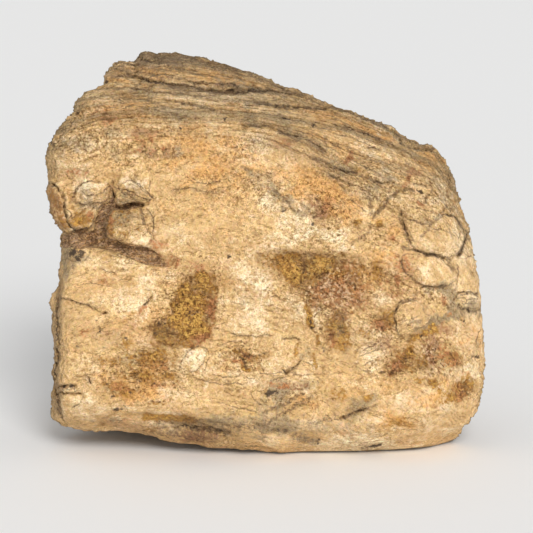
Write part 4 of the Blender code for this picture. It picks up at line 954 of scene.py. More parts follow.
def stain(x, h, tone):
    """How strong one of the tones is at each point."""
    marks = strokes(x, h, STROKES.get(tone, ()))
    return np.maximum(spots(x, h, SPOTS[tone]), marks)


def tapered(share):
    """1 along a line, fading at both of its ends."""
    return smooth(0.25 + share / 0.12) * smooth(0.25 + (1 - share) / 0.12)


def inside(x, h, outline, reach):
    """Signed distance to a closed outline, positive inside; at most the reach either way."""
    loop = rounded(outline, closed=True)
    loop = np.vstack((loop, loop[:1]))
    gap = np.abs(line_gap(x, h, loop, reach)[0])
    crossings = np.zeros(x.shape, int)
    for (x0, h0), (x1, h1) in zip(loop[:-1], loop[1:]):
        if h0 == h1:
            continue
        level = (h0 > h) != (h1 > h)
        crossings += level & (x < x0 + (h - h0) * (x1 - x0) / (h1 - h0))
    return np.where(crossings % 2 == 1, gap, -gap)


def grain_lines(x, h):
    """How many guides lie above each point, with the part of the way to the next one."""
    levels = [np.interp(x, *np.array(guide, float).T) for guide in GRAIN_GUIDES]
    count = np.minimum(0.0, (levels[0] - h) / GUIDE_SPACING)
    for upper, lower in zip(levels[:-1], levels[1:]):
        count = count + np.clip((upper - h) / np.maximum(upper - lower, 0.5), 0, 1)
    return count + np.maximum(0.0, (levels[-1] - h) / GUIDE_SPACING)


class Surface:
    """Where each point of the stone lies and faces, and the fields that carve and colour it."""

    def __init__(self, points, normals):
        self.place = face_frame(points)
        self.facing = turned(normals)
        self.x, self.h = as_seen(self.place)
        self.front = smooth((-self.facing[:, 2] - 0.02) / 0.25)
        # Places that wander: loosely for soft forms, and closely but raggedly for lines.
        wobble_x = NOISE.layered(self.place, WOBBLE_SIZE, 4, 0.6)
        wobble_h = NOISE.layered(self.place + 40.0, WOBBLE_SIZE, 4, 0.6)
        self.wx = self.x + 2.0 * wobble_x
        self.wh = self.h + 2.0 * wobble_h
        jag_x = NOISE.layered(self.place + 80.0, JAG_SIZE, 3, 0.7)
        jag_h = NOISE.layered(self.place + 120.0, JAG_SIZE, 3, 0.7)
        self.tx = self.x + 0.6 * wobble_x + 0.35 * jag_x
        self.th = self.h + 0.6 * wobble_h + 0.35 * jag_h
        count = grain_lines(self.x, self.h)
        self.band = self.front * smooth((BAND_GUIDES - count + 0.5 * wobble_x) / 1.4)
        planar = self.place @ np.array(LAYERS)
        planar = planar + 2.0 * NOISE.layered(self.place, 30.0, 2)
        front_across = count * -GUIDE_SPACING + FIRST_GUIDE
        self.across = self.front * front_across + (1 - self.front) * planar
        self.along = self.place[:, 0] * 0.93 - self.place[:, 1] * 0.2 - self.place[:, 2] * 0.3
        rough = spots(self.wx, self.wh, PITTED)
        self.pitted = self.front * rough
        self.smooth = self.front * spots(self.wx, self.wh, SMOOTH) * (1 - rough)

    def grain_noise(self, across_size, along_size, layers=3, shift=0.0):
        """Noise drawn out along the wood grain."""
        drawn = np.column_stack((
            self.across / across_size, self.along / along_size,
            self.place[:, 2] / (2.5 * across_size) + shift))
        return NOISE.layered(drawn, 1.0, layers, 0.55)


def broad_rise(surface, sizes):
    """Lumps, broken steps and the strata of the sides, in millimetres outwards."""
    place = surface.place
    lump = NOISE.layered(place, LUMP_SIZE, 3)
    rise = sizes.lumps / MM * lump
    # Small broken steps: a field is cut into terraces.
    drawn = place * np.array((0.8, 1.3, 1.0)) + 9.0
    field = NOISE.layered(drawn, FLAKE_FIELD, 3) * FLAKE_STEPS
    step = field - np.floor(field)
    terrace = smooth(step / 0.28) - step
    broken = smooth(0.4 + 1.6 * NOISE.layered(place + 70.0, BROKEN_SIZE, 2))
    rise += sizes.flakes / MM * terrace * broken * (1 - 0.6 * surface.band)
    # Strata on the sides and the back.
    side = 1 - surface.front
    strata = surface.grain_noise(2.6, 40.0, 3)
    ledge = surface.across / STRATUM + 0.8 * NOISE.layered(place, 18.0, 2)
    ledge = ledge - np.floor(ledge)
    rise += side * (0.55 * strata + 0.6 * (smooth(ledge / 0.35) - ledge))
    return rise


def fine_rise(surface, sizes):
    """Grain, cracks, pits and grit, in millimetres outwards."""
    place, x, h = surface.place, surface.tx, surface.th
    front = surface.front
    # Grain of the band, with thin sharp ridges.
    streak = surface.grain_noise(GRAIN_WIDTH, GRAIN_LENGTH, 4)
    thin = 1 - np.abs(surface.grain_noise(RIDGE_WIDTH, RIDGE_LENGTH, 3, 5.0)) * 2
    grain = sizes.grain / MM * (0.75 * streak + 0.35 * thin)
    share = np.maximum(0.85 * surface.band, 0.4 * (1 - front))
    rise = grain * (share + 0.16 * front * (1 - surface.band))
    # Grit, coarser where the face is pitted.
    rise += sizes.grit / MM * NOISE.layered(place, GRIT_SIZE, 2) * (1 + 1.2 * surface.pitted)
    near = NOISE.nearest(place, PIT_SPACING)
    rise -= 0.6 * surface.pitted * smooth((0.38 - near) / 0.3)
    rise -= 0.15 * front * smooth((0.2 - near) / 0.15)
    # Cracks, with one lip proud.
    open_by = np.clip(0.7 + 0.9 * NOISE.layered(place, 3.0, 3), 0.1, 1.6)
    for path, width, depth, lip in CRACKS:
        gap, share = line_gap(x, h, rounded(path), 6.0)
        end = tapered(share)
        cut = smooth(1.25 - np.abs(gap) / np.maximum(0.25, 0.55 * width * open_by)) * end
        rise -= front * sizes.crack_depth * depth * cut * np.clip(open_by, 0.3, 1.2)
        proud = smooth(gap / 0.6 + 0.5) * smooth(1 - np.abs(gap) / LIP_REACH)
        rise += front * end * lip * proud * 0.9
    for path, width, depth in SEAMS + HAIRLINES:
        gap, share = line_gap(x, h, rounded(path), 4.0)
        cut = smooth(1.2 - np.abs(gap) / np.maximum(0.2, 0.55 * width * open_by)) * tapered(share)
        rise -= front * sizes.crack_depth * depth * cut
    channel = inside(x, h, CHANNEL, 5.0)
    fibres = 0.8 + 0.5 * surface.grain_noise(0.8, 9.0, 2)
    rise -= front * sizes.crack_depth * CHANNEL_DEPTH * smooth(0.5 + channel / 1.5) * fibres
    for outline, height in PLATES:
        rise += front * height * smooth(0.5 + inside(x, h, outline, 4.0) / 2.0)
    for outline in LOBES:
        within = inside(x, h, outline, LOBE_REACH)
        line = np.cos(2 * math.pi * (within / LOBE_LINES + 0.4 * NOISE.layered(place, 4.0, 2)))
        rise += front * smooth(0.2 + within / 1.2) * (0.5 + 0.10 * line)
    for outline, depth in WORN_PATCHES:
        rise -= front * depth * smooth(0.5 + inside(surface.wx, surface.wh, outline, 5.0) / 2.0)
    for tone, height in TONE_HEIGHTS:
        rise += front * height * strokes(x, h, STROKES[tone])
    return rise


# ---------------------------------------------------------------- mesh work

def coordinates(mesh):
    """Vertex positions as an array."""
    flat = np.empty(len(mesh.vertices) * 3, np.float32)
    mesh.vertices.foreach_get("co", flat)
    return flat.reshape(-1, 3).astype(float)


def normals_of(mesh):
    """Vertex normals as an array."""
    flat = np.empty(len(mesh.vertices) * 3, np.float32)
    mesh.vertex_normals.foreach_get("vector", flat)
    return flat.reshape(-1, 3).astype(float)


def set_coordinates(mesh, points):
    """Move the vertices."""
    mesh.vertices.foreach_set("co", points.astype(np.float32).ravel())
    mesh.update()


def edges_of(mesh):
    """Vertex pairs as an array."""
    flat = np.empty(len(mesh.edges) * 2, np.int32)
    mesh.edges.foreach_get("vertices", flat)
    return flat.reshape(-1, 2)


def averaged(values, edges, rounds):
    """Values blurred over the mesh, a number of times."""
    count = len(values)
    first, second = edges.T
    ties = np.bincount(first, minlength=count) + np.bincount(second, minlength=count)
    ties = np.maximum(ties, 1)
    values = np.array(values, float)
    for _ in range(rounds):
        for column in range(values.shape[1]):
            old = values[:, column]
            total = np.bincount(first, old[second], count) + np.bincount(second, old[first], count)
            values[:, column] = 0.5 * old + 0.5 * total / ties
    return values


def rim_of(along, across):
    """The furthest reach of the points near each place along a rim."""
    step = 2.0
    bins = np.floor(along / step).astype(int)
    first = bins.min()
    furthest = np.full(bins.max() - first + 1, -1e3)
    np.maximum.at(furthest, bins - first, across)
    return np.interp(along, (np.arange(len(furthest)) + first + 0.5) * step, furthest)


def nudged(points):
    """Move the rim of the seen face by the listed shifts."""
    x, h = as_seen(face_frame(points))
    moves = []
    for shifts, along, across in ((TOP_SHIFTS, x, h), (RIGHT_SHIFTS, h, x), (LEFT_SHIFTS, h, -x)):
        near = smooth(1 - (rim_of(along, across) - across) / RIM_REACH)
        moves.append(np.interp(along, *np.array(shifts, float).T) * near)
    up, right, left = moves
    moved = points.copy()
    moved[:, 0] += (right - left) * MM
    moved[:, 1] += up * math.sin(LEAN) * MM
    moved[:, 2] += up * math.cos(LEAN) * MM
    return moved


def grounded(points, rise, normals):
    """Move points along their normals, and keep the underside flat and nothing below it."""
    low = smooth((2.5 - points[:, 2] / MM) / 1.5)
    under = smooth((-normals[:, 2] - 0.5) / 0.3) * low
    moved = points + normals * (rise * (1 - under))[:, None] * MM
    moved[:, 2] = np.maximum(moved[:, 2], 0.0)
    return moved


def only(obj):
    """Make this object the only selected one, and active."""
    bpy.ops.object.select_all(action="DESELECT")
    obj.select_set(True)
    bpy.context.view_layer.objects.active = obj


def apply_modifier(obj, kind, **settings):
    """Add a modifier, set it up and apply it."""
    only(obj)
    modifier = obj.modifiers.new(kind.lower(), kind)
    for name, value in settings.items():
        setattr(modifier, name, value)
    bpy.ops.object.modifier_apply(modifier=modifier.name)


def select_faces(mesh, chosen):
    """Select the chosen faces, and what belongs to them."""
    corners = np.empty(len(mesh.polygons), np.int32)
    mesh.polygons.foreach_get("loop_start", corners)
    loops = np.empty(len(mesh.loops), np.int32)
    mesh.loops.foreach_get("vertex_index", loops)
    mesh.polygons.foreach_set("select", chosen)
    face_of_loop = np.searchsorted(corners, np.arange(len(loops)), side="right") - 1
    picked = np.zeros(len(mesh.vertices), bool)
    picked[loops[chosen[face_of_loop]]] = True
    mesh.vertices.foreach_set("select", picked)
    pairs = edges_of(mesh)
    mesh.edges.foreach_set("select", picked[pairs[:, 0]] & picked[pairs[:, 1]])


def thin_faces(obj, on_front, share):
    """Collapse faces on the front, or on the rest, down to a share of their number."""
    mesh = obj.data
    normals = np.empty(len(mesh.polygons) * 3, np.float32)
    mesh.polygons.foreach_get("normal", normals)
    front = turned(normals.reshape(-1, 3))[:, 2] < FRONT_LIMIT
    only(obj)
    select_faces(mesh, front if on_front else ~front)
    bpy.ops.object.mode_set(mode="EDIT")
    bpy.ops.mesh.select_mode(type="FACE")
    bpy.ops.mesh.decimate(ratio=share)
    bpy.ops.object.mode_set(mode="OBJECT")


def stone_copy():
    """A merged copy of the stone's solid."""
    source = frame["nodes"][NODE]
    bpy.ops.object.select_all(action="DESELECT")
    stone = bpy.data.objects.new(PIECE, source.data.copy())
    bpy.context.scene.collection.objects.link(stone)
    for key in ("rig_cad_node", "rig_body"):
        if key in stone:
            del stone[key]
    stone.data.materials.clear()
    only(stone)
    bpy.ops.object.mode_set(mode="EDIT")
    bpy.ops.mesh.select_all(action="SELECT")
    bpy.ops.mesh.remove_doubles(threshold=MERGE_GAP)
    bpy.ops.object.mode_set(mode="OBJECT")
    return stone


def carve(sizes):
    """The stone's solid, remeshed and carved."""
    stone = stone_copy()
    apply_modifier(stone, "SUBSURF", levels=2, render_levels=2)
    apply_modifier(stone, "REMESH", mode="VOXEL", voxel_size=sizes.voxel)
    apply_modifier(stone, "SMOOTH", factor=0.5, iterations=8)
    mesh = stone.data
    set_coordinates(mesh, nudged(coordinates(mesh)))
    for rise_of in (broad_rise, fine_rise):
        points, normals = coordinates(mesh), normals_of(mesh)
        rise = rise_of(Surface(points, normals), sizes)
        set_coordinates(mesh, grounded(points, rise, normals))
    apply_modifier(stone, "TRIANGULATE")
    thin_faces(stone, True, sizes.front_share)
    thin_faces(stone, False, sizes.rest_share)
    points = coordinates(stone.data)
    points[:, 2] = np.maximum(points[:, 2], 0.0)
    set_coordinates(stone.data, points)
    stone.data.shade_smooth()
    sharp = stone.data.attributes.get("sharp_edge")
    if sharp:
        stone.data.attributes.remove(sharp)
    return stone


def keep(mesh, name, values):
    """Store a number at each vertex."""
    attribute = mesh.attributes.new(name, "FLOAT", "POINT")
    attribute.data.foreach_set("value", values.astype(np.float32))


def paint(stone):
    """Store the stains, veins, grain and hollows at each vertex. Some stains stand for painted shade
    and some for painted light, and the hollows feed painted shade and light.
    """
    mesh = stone.data
    points, normals = coordinates(mesh), normals_of(mesh)
    surface = Surface(points, normals)
    x, h, front = surface.wx, surface.wh, surface.front
    edges = edges_of(mesh)
    # How far each point lies below or above its blurred neighbours; the material uses it for painted
    # shade in the hollows and painted light on the ridges.
    for name, rounds in (("hollow", 3), ("dip", 14)):
        blurred = averaged(points, edges, rounds)
        keep(mesh, name, np.einsum("ij,ij->i", points - blurred, normals) / MM)

    olive = inside(x, h, OLIVE_PATCH, 6.0)
    corner = inside(x, h, CORNER_PATCH, 6.0)
    mixed = inside(x, h, PLUM_PATCH, 6.0)
    channel = inside(surface.tx, surface.th, CHANNEL, 5.0)
    layer = inside(surface.tx, surface.th, BACK_LAYER, 5.0)
    lower = smooth((x - 16.0 - h * 1.2) / 14.0)
    far = smooth((x - 30.0) / 8.0)
    patch = {
        "ochre": np.maximum.reduce((
            0.9 * smooth(0.5 + olive / 6.0), 0.8 * smooth(0.5 + corner / 6.0),
            (0.95 - 0.6 * lower) * smooth(0.5 + mixed / 6.0), 0.3 * smooth(0.5 + layer / 2.0))),
        "plum": np.maximum((0.8 - 0.6 * far) * lower * smooth(0.5 + mixed / 8.0),
                           0.6 * smooth(0.5 + layer / 2.0)),
    }
    for tone in SPOTS:
        place = (x, h) if tone in SOFT_TONES else (surface.tx, surface.th)
        keep(mesh, tone, front * np.maximum(stain(*place, tone), patch.get(tone, 0.0)))
    keep(mesh, "side", 1 - front)
    keep(mesh, "smooth", surface.smooth)
    keep(mesh, "channel", front * smooth(0.5 + channel / 2.2))
    keep(mesh, "pitted", surface.pitted)
    keep(mesh, "band", np.maximum(surface.band, 0.75 * (1 - front)))
    keep(mesh, "across", surface.across)
    keep(mesh, "along", surface.along)

    patchy = np.clip(0.75 + 0.6 * NOISE.layered(surface.place + 25.0, 5.0, 2), 0.25, 1.0)
    for name, lines in (("crack", CRACKS), ("seam", SEAMS), ("hair", HAIRLINES)):
        nearest = np.full(x.shape, LINE_REACH)
        ink = np.zeros(x.shape)
        for path, width, *_ in lines:
            gap, share = line_gap(surface.tx, surface.th, rounded(path), LINE_REACH)
            closer = np.abs(gap) < np.abs(nearest)
            nearest = np.where(closer, gap, nearest)
            strength = min(1.0, 0.5 + 0.5 * width) * tapered(share)
            ink = np.where(closer, strength * smooth(2.0 - np.abs(gap) / 1.2), ink)
        keep(mesh, name + "_gap", nearest)
        keep(mesh, name + "_ink", front * ink * patchy)

    rim = np.full(x.shape, LINE_REACH)
    for outline in [plate for plate, _ in PLATES] + LOBES:
        gap = inside(surface.tx, surface.th, outline, LINE_REACH)
        rim = np.where(np.abs(gap) < np.abs(rim), gap, rim)
    keep(mesh, "rim_gap", rim)
    keep(mesh, "rim_ink", front * smooth(2.0 - np.abs(rim) / 1.2) * patchy)
    within = np.full(x.shape, -LOBE_REACH)
    for outline in LOBES:
        within = np.maximum(within, inside(surface.tx, surface.th, outline, LOBE_REACH))
    keep(mesh, "lobe", np.where(front > 0.5, within, -LOBE_REACH))


# ---------------------------------------------------------------- material

# The last steps of the colour, for its red, green and blue.
GAIN = (1.75, 1.95, 2.35)           # how strongly light and dark grains act
TINT_SPREAD = (0.2, 0.3, 0.6)       # how far the hue drifts from place to place
TINT_BASE = (0.905, 0.845, 0.73)
BRIGHTEST = (0.95, 0.90, 0.80)      # no place is lighter than this
DARKEST_VALUE, LIGHTEST_VALUE = -2.2, 0.5


class Value:
    """A socket that gives a value. Arithmetic on it adds Math nodes."""

    def __init__(self, finish, socket):
        self.finish = finish
        self.socket = socket

    def math(self, operation, *values):
        """A Math node on these values."""
        return self.finish.node("ShaderNodeMath", {"operation": operation}, dict(enumerate(values)))

    def at_least(self, other):
        """The larger of the two."""
        return self.math("MAXIMUM", self, other)

    def at_most(self, other):
        """The smaller of the two."""
        return self.math("MINIMUM", self, other)

    def __add__(self, other):
        return self.math("ADD", self, other)

    def __sub__(self, other):
        return self.math("SUBTRACT", self, other)

    def __rsub__(self, other):
        return self.math("SUBTRACT", other, self)

    def __mul__(self, other):
        return self.math("MULTIPLY", self, other)

    def __rpow__(self, other):
        return self.math("POWER", other, self)

    def __abs__(self):
        return self.math("ABSOLUTE", self)

    __radd__ = __add__
    __rmul__ = __mul__


class Finish:
    """A material and its nodes."""

    def __init__(self, name):
        self.material = bpy.data.materials.new(name)
        self.material.use_nodes = True
        self.tree = self.material.node_tree
        self.tree.nodes.clear()

    def node(self, kind, settings, inputs, output=0):
        """Add a node, set it up, fill or link its sockets, and give one of its outputs."""
        made = self.tree.nodes.new(kind)
        for name, value in settings.items():
            setattr(made, name, value)
        for key, value in inputs.items():
            if isinstance(value, Value):
                self.tree.links.new(value.socket, made.inputs[key])
            else:
                made.inputs[key].default_value = value
        return Value(self, made.outputs[output]) if made.outputs else None

    def kept(self, name):
        """A number stored on the mesh."""
        return self.node("ShaderNodeAttribute", {"attribute_name": name}, {}, "Fac")

    def speckle(self, place, size, detail=3.0, roughness=0.6, distortion=0.0):
        """Noise about zero, from -0.5 to 0.5, with grains of a size in millimetres."""
        return self.node("ShaderNodeTexNoise", {}, {
            "Vector": place, "Scale": 1000.0 / size, "Detail": detail,
            "Roughness": roughness, "Distortion": distortion}) - 0.5

    def between(self, value, low, high, to_low=0.0, to_high=1.0):
        """Ease from one number to another as the value goes from low to high."""
        return self.node("ShaderNodeMapRange", {"interpolation_type": "SMOOTHSTEP"}, {
            "Value": value, "From Min": low, "From Max": high,
            "To Min": to_low, "To Max": to_high})

    def mix(self, share, below, above, blend="MIX"):
        """One colour over another."""
        settings = {"data_type": "RGBA", "blend_type": blend}
        return self.node("ShaderNodeMix", settings, {0: share, 6: below, 7: above}, 2)

    def vector(self, x, y, z):
        """Three values as one vector."""
        return self.node("ShaderNodeCombineXYZ", {}, {0: x, 1: y, 2: z})


def stone_finish(colours):
    """Cream silica with its grain, stains, veins and dirt."""
    f = Finish("cream silica")
    place = f.node("ShaderNodeTexCoord", {}, {}, "Object")
    across, along = f.kept("across"), f.kept("along")
    band, pitted = f.kept("band"), f.kept("pitted")

    fine = f.speckle(place, 0.55, 1.0, 0.6)
    # Crumbs: small cells, each lighter or darker than the next.
    bent = f.node("ShaderNodeTexNoise", {}, {"Vector": place, "Scale": 900.0, "Detail": 2.0}, 1)
    bent = f.node("ShaderNodeVectorMath", {"operation": "MULTIPLY_ADD"}, {
        0: bent, 1: (0.0005, 0.0005, 0.0005), 2: place})
    crumbs, crystals = [
        f.node("ShaderNodeSeparateXYZ", {}, {0: f.node(
            "ShaderNodeTexVoronoi", {}, {"Vector": bent, "Scale": 1000.0 / size}, 1)}, channel) - 0.5
        for size, channel in ((0.6, 0), (0.9, 1))]
    grains = f.speckle(place, 1.5, 3.0, 0.6)
    patches = f.speckle(place, 6.0, 4.0, 0.6, 0.25)
    areas = f.speckle(place, 22.0, 3.0, 0.55, 0.5)
    depth = f.node("ShaderNodeSeparateXYZ", {}, {0: place}, 1)
    flow = f.vector(across * 0.001, along * 0.0003, depth)
    marbled = f.speckle(flow, 8.0, 5.0, 0.6, 0.5)

    # Streaks of the wood grain: across and along are in millimetres.
    drawn = f.vector(across * 0.001, along * 0.00006, 0.0)
    streaks = f.speckle(drawn, 1.1, 4.0, 0.65, 0.15)
    lines = f.speckle(drawn, 0.5, 3.0, 0.6)
    wide_streaks = f.speckle(drawn, 4.0, 3.0, 0.5)

    # Thin broken flakes: a field cut into steps, with a painted highlight at the lip and a dark foot
    # that is partly a hairline and partly painted shade.
    calm = f.between(f.kept("smooth"), 0.0, 1.0, 1.0, 0.35)
    level = f.speckle(flow, 11.0, 5.0, 0.6, 0.3) * 9.0
    step = level.math("FRACT", level)
    here = f.between(marbled + patches * 0.6, -0.10, 0.06) * calm
    foot_line_and_shade = f.between(step, 0.09, 0.01) * here
    lip = f.between(step, 0.70, 1.0) * here
    wandering = abs(f.speckle(flow, 5.0, 5.0, 0.6, 0.3))
    hairs = f.between(wandering, 0.016, 0.003) * f.between(grains - patches, -0.02, 0.08) * calm
    curled = abs(f.speckle(place, 2.6, 2.0, 0.5, 0.5))
    spread = f.between(patches + areas + fine * 0.5, -0.12, 0.08)
    curls = f.between(curled, 0.030, 0.008) * spread * calm

    # Cream, with veils of other tones drifting over it.
    colour = f.mix(f.between(areas + marbled * 0.8, 0.02, 0.24) * 0.7,
                   tuple(colours.cream), tuple(colours.pale))
    for size, tint, low, high, share in (
            (12.0, colours.rust, 0.03, 0.2, 0.55), (7.5, colours.yellow, 0.04, 0.2, 0.5),
            (9.5, colours.pink, 0.05, 0.2, 0.5), (14.0, colours.grey, 0.06, 0.25, 0.4),
            (5.0, colours.pale, 0.08, 0.2, 0.6)):
        veil = f.speckle(flow, size, 6.0, 0.65, 0.3) + crumbs * 0.10
        colour = f.mix(f.between(veil, low, high) * share * calm, colour, tuple(tint))

    # Stains, broken up into grains where they are thin; the grey tone also lays painted shade, and the
    # pale tone some painted light.
    soft = patches * 1.8 + grains * 0.7 + fine * 0.3
    broken = patches * 1.8 + grains * 1.2 + crumbs * 0.45 + fine * 0.8
    for tone in ("pale", "rust", "grey", "plum", "ochre", "red"):
        known = f.kept(tone)
        edge = soft if tone in SOFT_TONES else broken
        mask = f.between(known + edge * f.between(known, 0.0, 0.3), 0.15, 0.85)
        colour = f.mix(mask, colour, tuple(getattr(colours, tone)))
    ochre, plum = f.kept("ochre"), f.kept("plum")
    golden = ochre - plum * 0.2 - f.kept("red") * 0.6 + patches * 2.4 + crystals * 0.35
    golden = golden + grains + fine * 0.4
    colour = f.mix(f.between(golden, 0.7, 1.25) * 0.82, colour, tuple(colours.gold))
    deep = ochre - patches * 2.2 - areas + grains * 0.9 + crumbs * 0.6
    colour = f.mix(f.between(deep, 0.95, 1.4) * 0.55, colour, tuple(colours.umber))
    reddish = plum * 1.1 - ochre * 0.15 - patches * 2.2 + grains + crumbs * 0.5
    colour = f.mix(f.between(reddish, 0.55, 1.0) * 0.35, colour, tuple(colours.red))
    bright = pitted * 0.3 + plum * 0.8 - patches * 1.3 + crystals * 0.9
    colour = f.mix(f.between(bright, 0.85, 1.4) * 0.35, colour, tuple(colours.pale))

    # The grain's own streaks, dark at the top of the band and on the sides, and the umber tone, which
    # is partly painted shade.
    wide = f.between(wide_streaks + patches * 0.3, -0.12, 0.12)
    colour = f.mix(band * wide * 0.62, colour, tuple(colours.grey))
    dark = band * (f.between(streaks, 0.05, 0.15) * 0.5 + f.between(lines, 0.08, 0.16) * 0.45)
    known = f.kept("umber")
    umber = known + (streaks * band * 1.4 + grains + fine * 1.2) * f.between(known, 0.0, 0.3)
    dark = dark.at_least(f.between(umber, 0.2, 0.85) * 0.8)
    colour = f.mix(dark, colour, tuple(colours.umber))
    # Sides and back darker grey-brown: partly their own weathered tone, partly painted shade where the
    # surface turns away from the front.
    side = f.kept("side")
    colour = f.mix(side * (0.35 + f.between(streaks + patches * 0.5, -0.1, 0.15) * 0.4), colour,
                   tuple(colours.grey))
    colour = f.mix(f.between(side + patches * 0.4, 0.4, 1.0) * 0.4, colour, tuple(colours.umber))

    # Lines in the lobes, cracks, seams, and near-black specks that also lay painted shade in a groove
    # low on the bottom band.
    wander = grains * 1.1 + fine * 1.2 + patches * 0.6
    lobe = f.kept("lobe") + wander * 0.35
    turns = lobe * (1.0 / LOBE_LINES)
    rings = turns.math("PINGPONG", turns, 0.5)
    ring = f.between(rings, 0.12, 0.0) * f.between(lobe, 0.3, 1.0) * f.between(patches, -0.1, 0.1)
    colour = f.mix(ring * 0.5, colour, tuple(colours.umber))
    rim_gap = abs(f.kept("rim_gap") + wander * 0.9)
    rim = f.between(rim_gap, 0.40, 0.05) * f.kept("rim_ink") * f.between(patches, -0.15, 0.05, 0.3)
    colour = f.mix(rim * 0.8, colour, tuple(colours.umber))
    crack_gap = abs(f.kept("crack_gap") + wander * 0.9)
    seam_gap = abs(f.kept("seam_gap") + wander * 0.9)
    hair_gap = abs(f.kept("hair_gap") + wander * 0.6)
    hair = f.between(hair_gap, 0.38, 0.06) * f.kept("hair_ink")
    colour = f.mix(hair * 1.2, colour, tuple(colours.umber))
    gaps = f.between(patches + grains, -0.14, 0.06, 0.3, 1.0)
    crack = f.between(crack_gap, 0.38, 0.05) * f.kept("crack_ink") * gaps
    seam = f.between(seam_gap, 0.36, 0.05) * f.kept("seam_ink") * gaps
    halo = f.between(crack_gap + grains * 2.0, 1.5, 0.2) * f.kept("crack_ink")
    halo = halo + f.between(seam_gap + grains * 2.0, 1.3, 0.2) * f.kept("seam_ink")
    colour = f.mix(halo * 0.35, colour, tuple(colours.umber))
    colour = f.mix(crack * 0.75, colour, tuple(colours.crack))
    colour = f.mix(seam * 0.6, colour, tuple(colours.crack))
    known = f.kept("channel")
    ragged = known + (patches * 0.9 + grains * 1.3 + fine * 1.5) * f.between(known, 0.0, 0.25)
    bank = f.between(ragged, 0.35, 0.6) * 0.95
    colour = f.mix(bank, colour, tuple(colours.channel))
    fibres = f.between(streaks + grains + fine, 0.06, 0.2)
    colour = f.mix(bank * fibres * 0.5, colour, tuple(colours.rust))
    shore = f.between(abs(ragged - 0.5), 0.2, 0.05)
    colour = f.mix(shore * f.between(patches, -0.12, 0.06, 0.15) * 0.7, colour, tuple(colours.umber))
    dirt = f.between(f.kept("dirt") + grains * 1.4 + crumbs * 0.3, 0.25, 0.7) * 0.9
    colour = f.mix(dirt, colour, tuple(colours.dirt))
    pits = f.node("ShaderNodeTexVoronoi", {}, {"Vector": place, "Scale": 520.0})
    pit = f.between(pits + grains * 1.5 - patches * 0.7, 0.16, 0.05)

    # Light and dark grains over it all, with painted shade in the hollows and at the feet of flakes,
    # and painted light on the ridges and flake lips: the colour is multiplied, least in red.
    rough = (0.5 + f.between(patches, -0.1, 0.15) * 0.35 + pitted * 1.5) * calm
    busy = 0.6 + pitted * 0.9
    value = (fine * 2.1 + crumbs * 0.7 + grains * 0.9) * rough + crystals * pitted * 1.5
    value = value + patches * 1.1 + marbled * 1.1 + areas * 0.8
    value = value + bank * (lines * 3.4 + grains * 1.6 + crumbs)
    value = value + band * (streaks * 2.2 + lines * 2.0 + crumbs * 0.3)
    # The lip's lightening is a painted highlight; the foot's darkening is partly painted shade.
    value = value + lip * 0.25 - (foot_line_and_shade * 1.3 + hairs * 1.3 + curls * 0.6) * busy
    value = value - pit * (pitted * 1.4 + 0.35)
    # Painted shade and light: darker in the hollows, partly as dirt gathers there, and lighter on the
    # ridges.
    hollow, dip = f.kept("hollow"), f.kept("dip")
    value = value + hollow.at_most(0.0) * 1.7 + hollow * 0.5
    value = value + dip.at_most(0.0) * 0.5
    value = (value + 0.05).at_least(DARKEST_VALUE).at_most(LIGHTEST_VALUE)
    gain = f.vector(*[base ** value for base in GAIN])
    tint = f.node("ShaderNodeTexNoise", {}, {
        "Vector": place, "Scale": 900.0, "Detail": 2.0, "Roughness": 0.6}, 1)
    tint = f.node("ShaderNodeVectorMath", {"operation": "MULTIPLY_ADD"}, {
        0: tint, 1: TINT_SPREAD, 2: TINT_BASE})
    for factor in (gain, tint):
        colour = f.node("ShaderNodeVectorMath", {"operation": "MULTIPLY"}, {0: colour, 1: factor})
    colour = f.node("ShaderNodeVectorMath", {"operation": "MINIMUM"}, {0: colour, 1: BRIGHTEST})

    relief = (fine * 0.35 + crumbs * 0.08 + grains * 0.5) * rough + crystals * pitted * 0.25
    relief = relief + patches * 0.5 + step * here * 0.3
    relief = relief + band * (streaks * 1.6 + lines * 0.9)
    relief = relief - pit * (pitted * 0.6 + 0.2) - crack * 0.8 - seam * 0.8 - hairs * 0.2
    bump = f.node("ShaderNodeBump", {}, {"Strength": 0.8, "Distance": 0.0010, "Height": relief})
    roughness = 0.74 + fine * 0.25 + grains * 0.15
    shader = f.node("ShaderNodeBsdfPrincipled", {}, {
        "Base Color": colour, "Roughness": roughness, "Metallic": 0.0,
        "Specular IOR Level": 0.35, "Normal": bump})
    f.node("ShaderNodeOutputMaterial", {}, {"Surface": shader})
    return f.material


# ---------------------------------------------------------------- stage

KEY_FROM = (0.25, -1.0, 0.72)       # directions that the lights shine from
FILL_FROM = (0.45, -1.0, 0.05)
FLOOR_GAP = 0.0002                  # metres from the floor up to the stone
SENSOR_WIDTH = 36.0                 # millimetres


def plain_material(name, colour, roughness):
    """One even colour."""
    f = Finish(name)
    shader = f.node("ShaderNodeBsdfPrincipled", {}, {
        "Base Color": tuple(colour), "Roughness": roughness, "Specular IOR Level": 0.2})
    f.node("ShaderNodeOutputMaterial", {}, {"Surface": shader})
    return f.material


def face_point(x, h, d):
    """A point of the face's frame, in metres in the part's frame."""
    return Vector((
        x + FACE_ORIGIN[0],
        h * math.sin(LEAN) + d * math.cos(LEAN) + FACE_ORIGIN[1],
        h * math.cos(LEAN) - d * math.sin(LEAN) + FACE_ORIGIN[2])) * MM


def aimed(place, target):
    """A matrix that stands at a place and looks at a target."""
    turn = (target - place).to_track_quat("-Z", "Y")
    return Matrix.LocRotScale(place, turn, None)


def sun(name, direction, strength, softness):
    """An even light from far off, shining from a direction."""
    light = bpy.data.lights.new(name, "SUN")
    light.energy = strength
    light.angle = softness
    lamp = bpy.data.objects.new(name, light)
    bpy.context.scene.collection.objects.link(lamp)
    lamp.matrix_world = aimed(Vector(direction), Vector((0, 0, 0)))
    return lamp


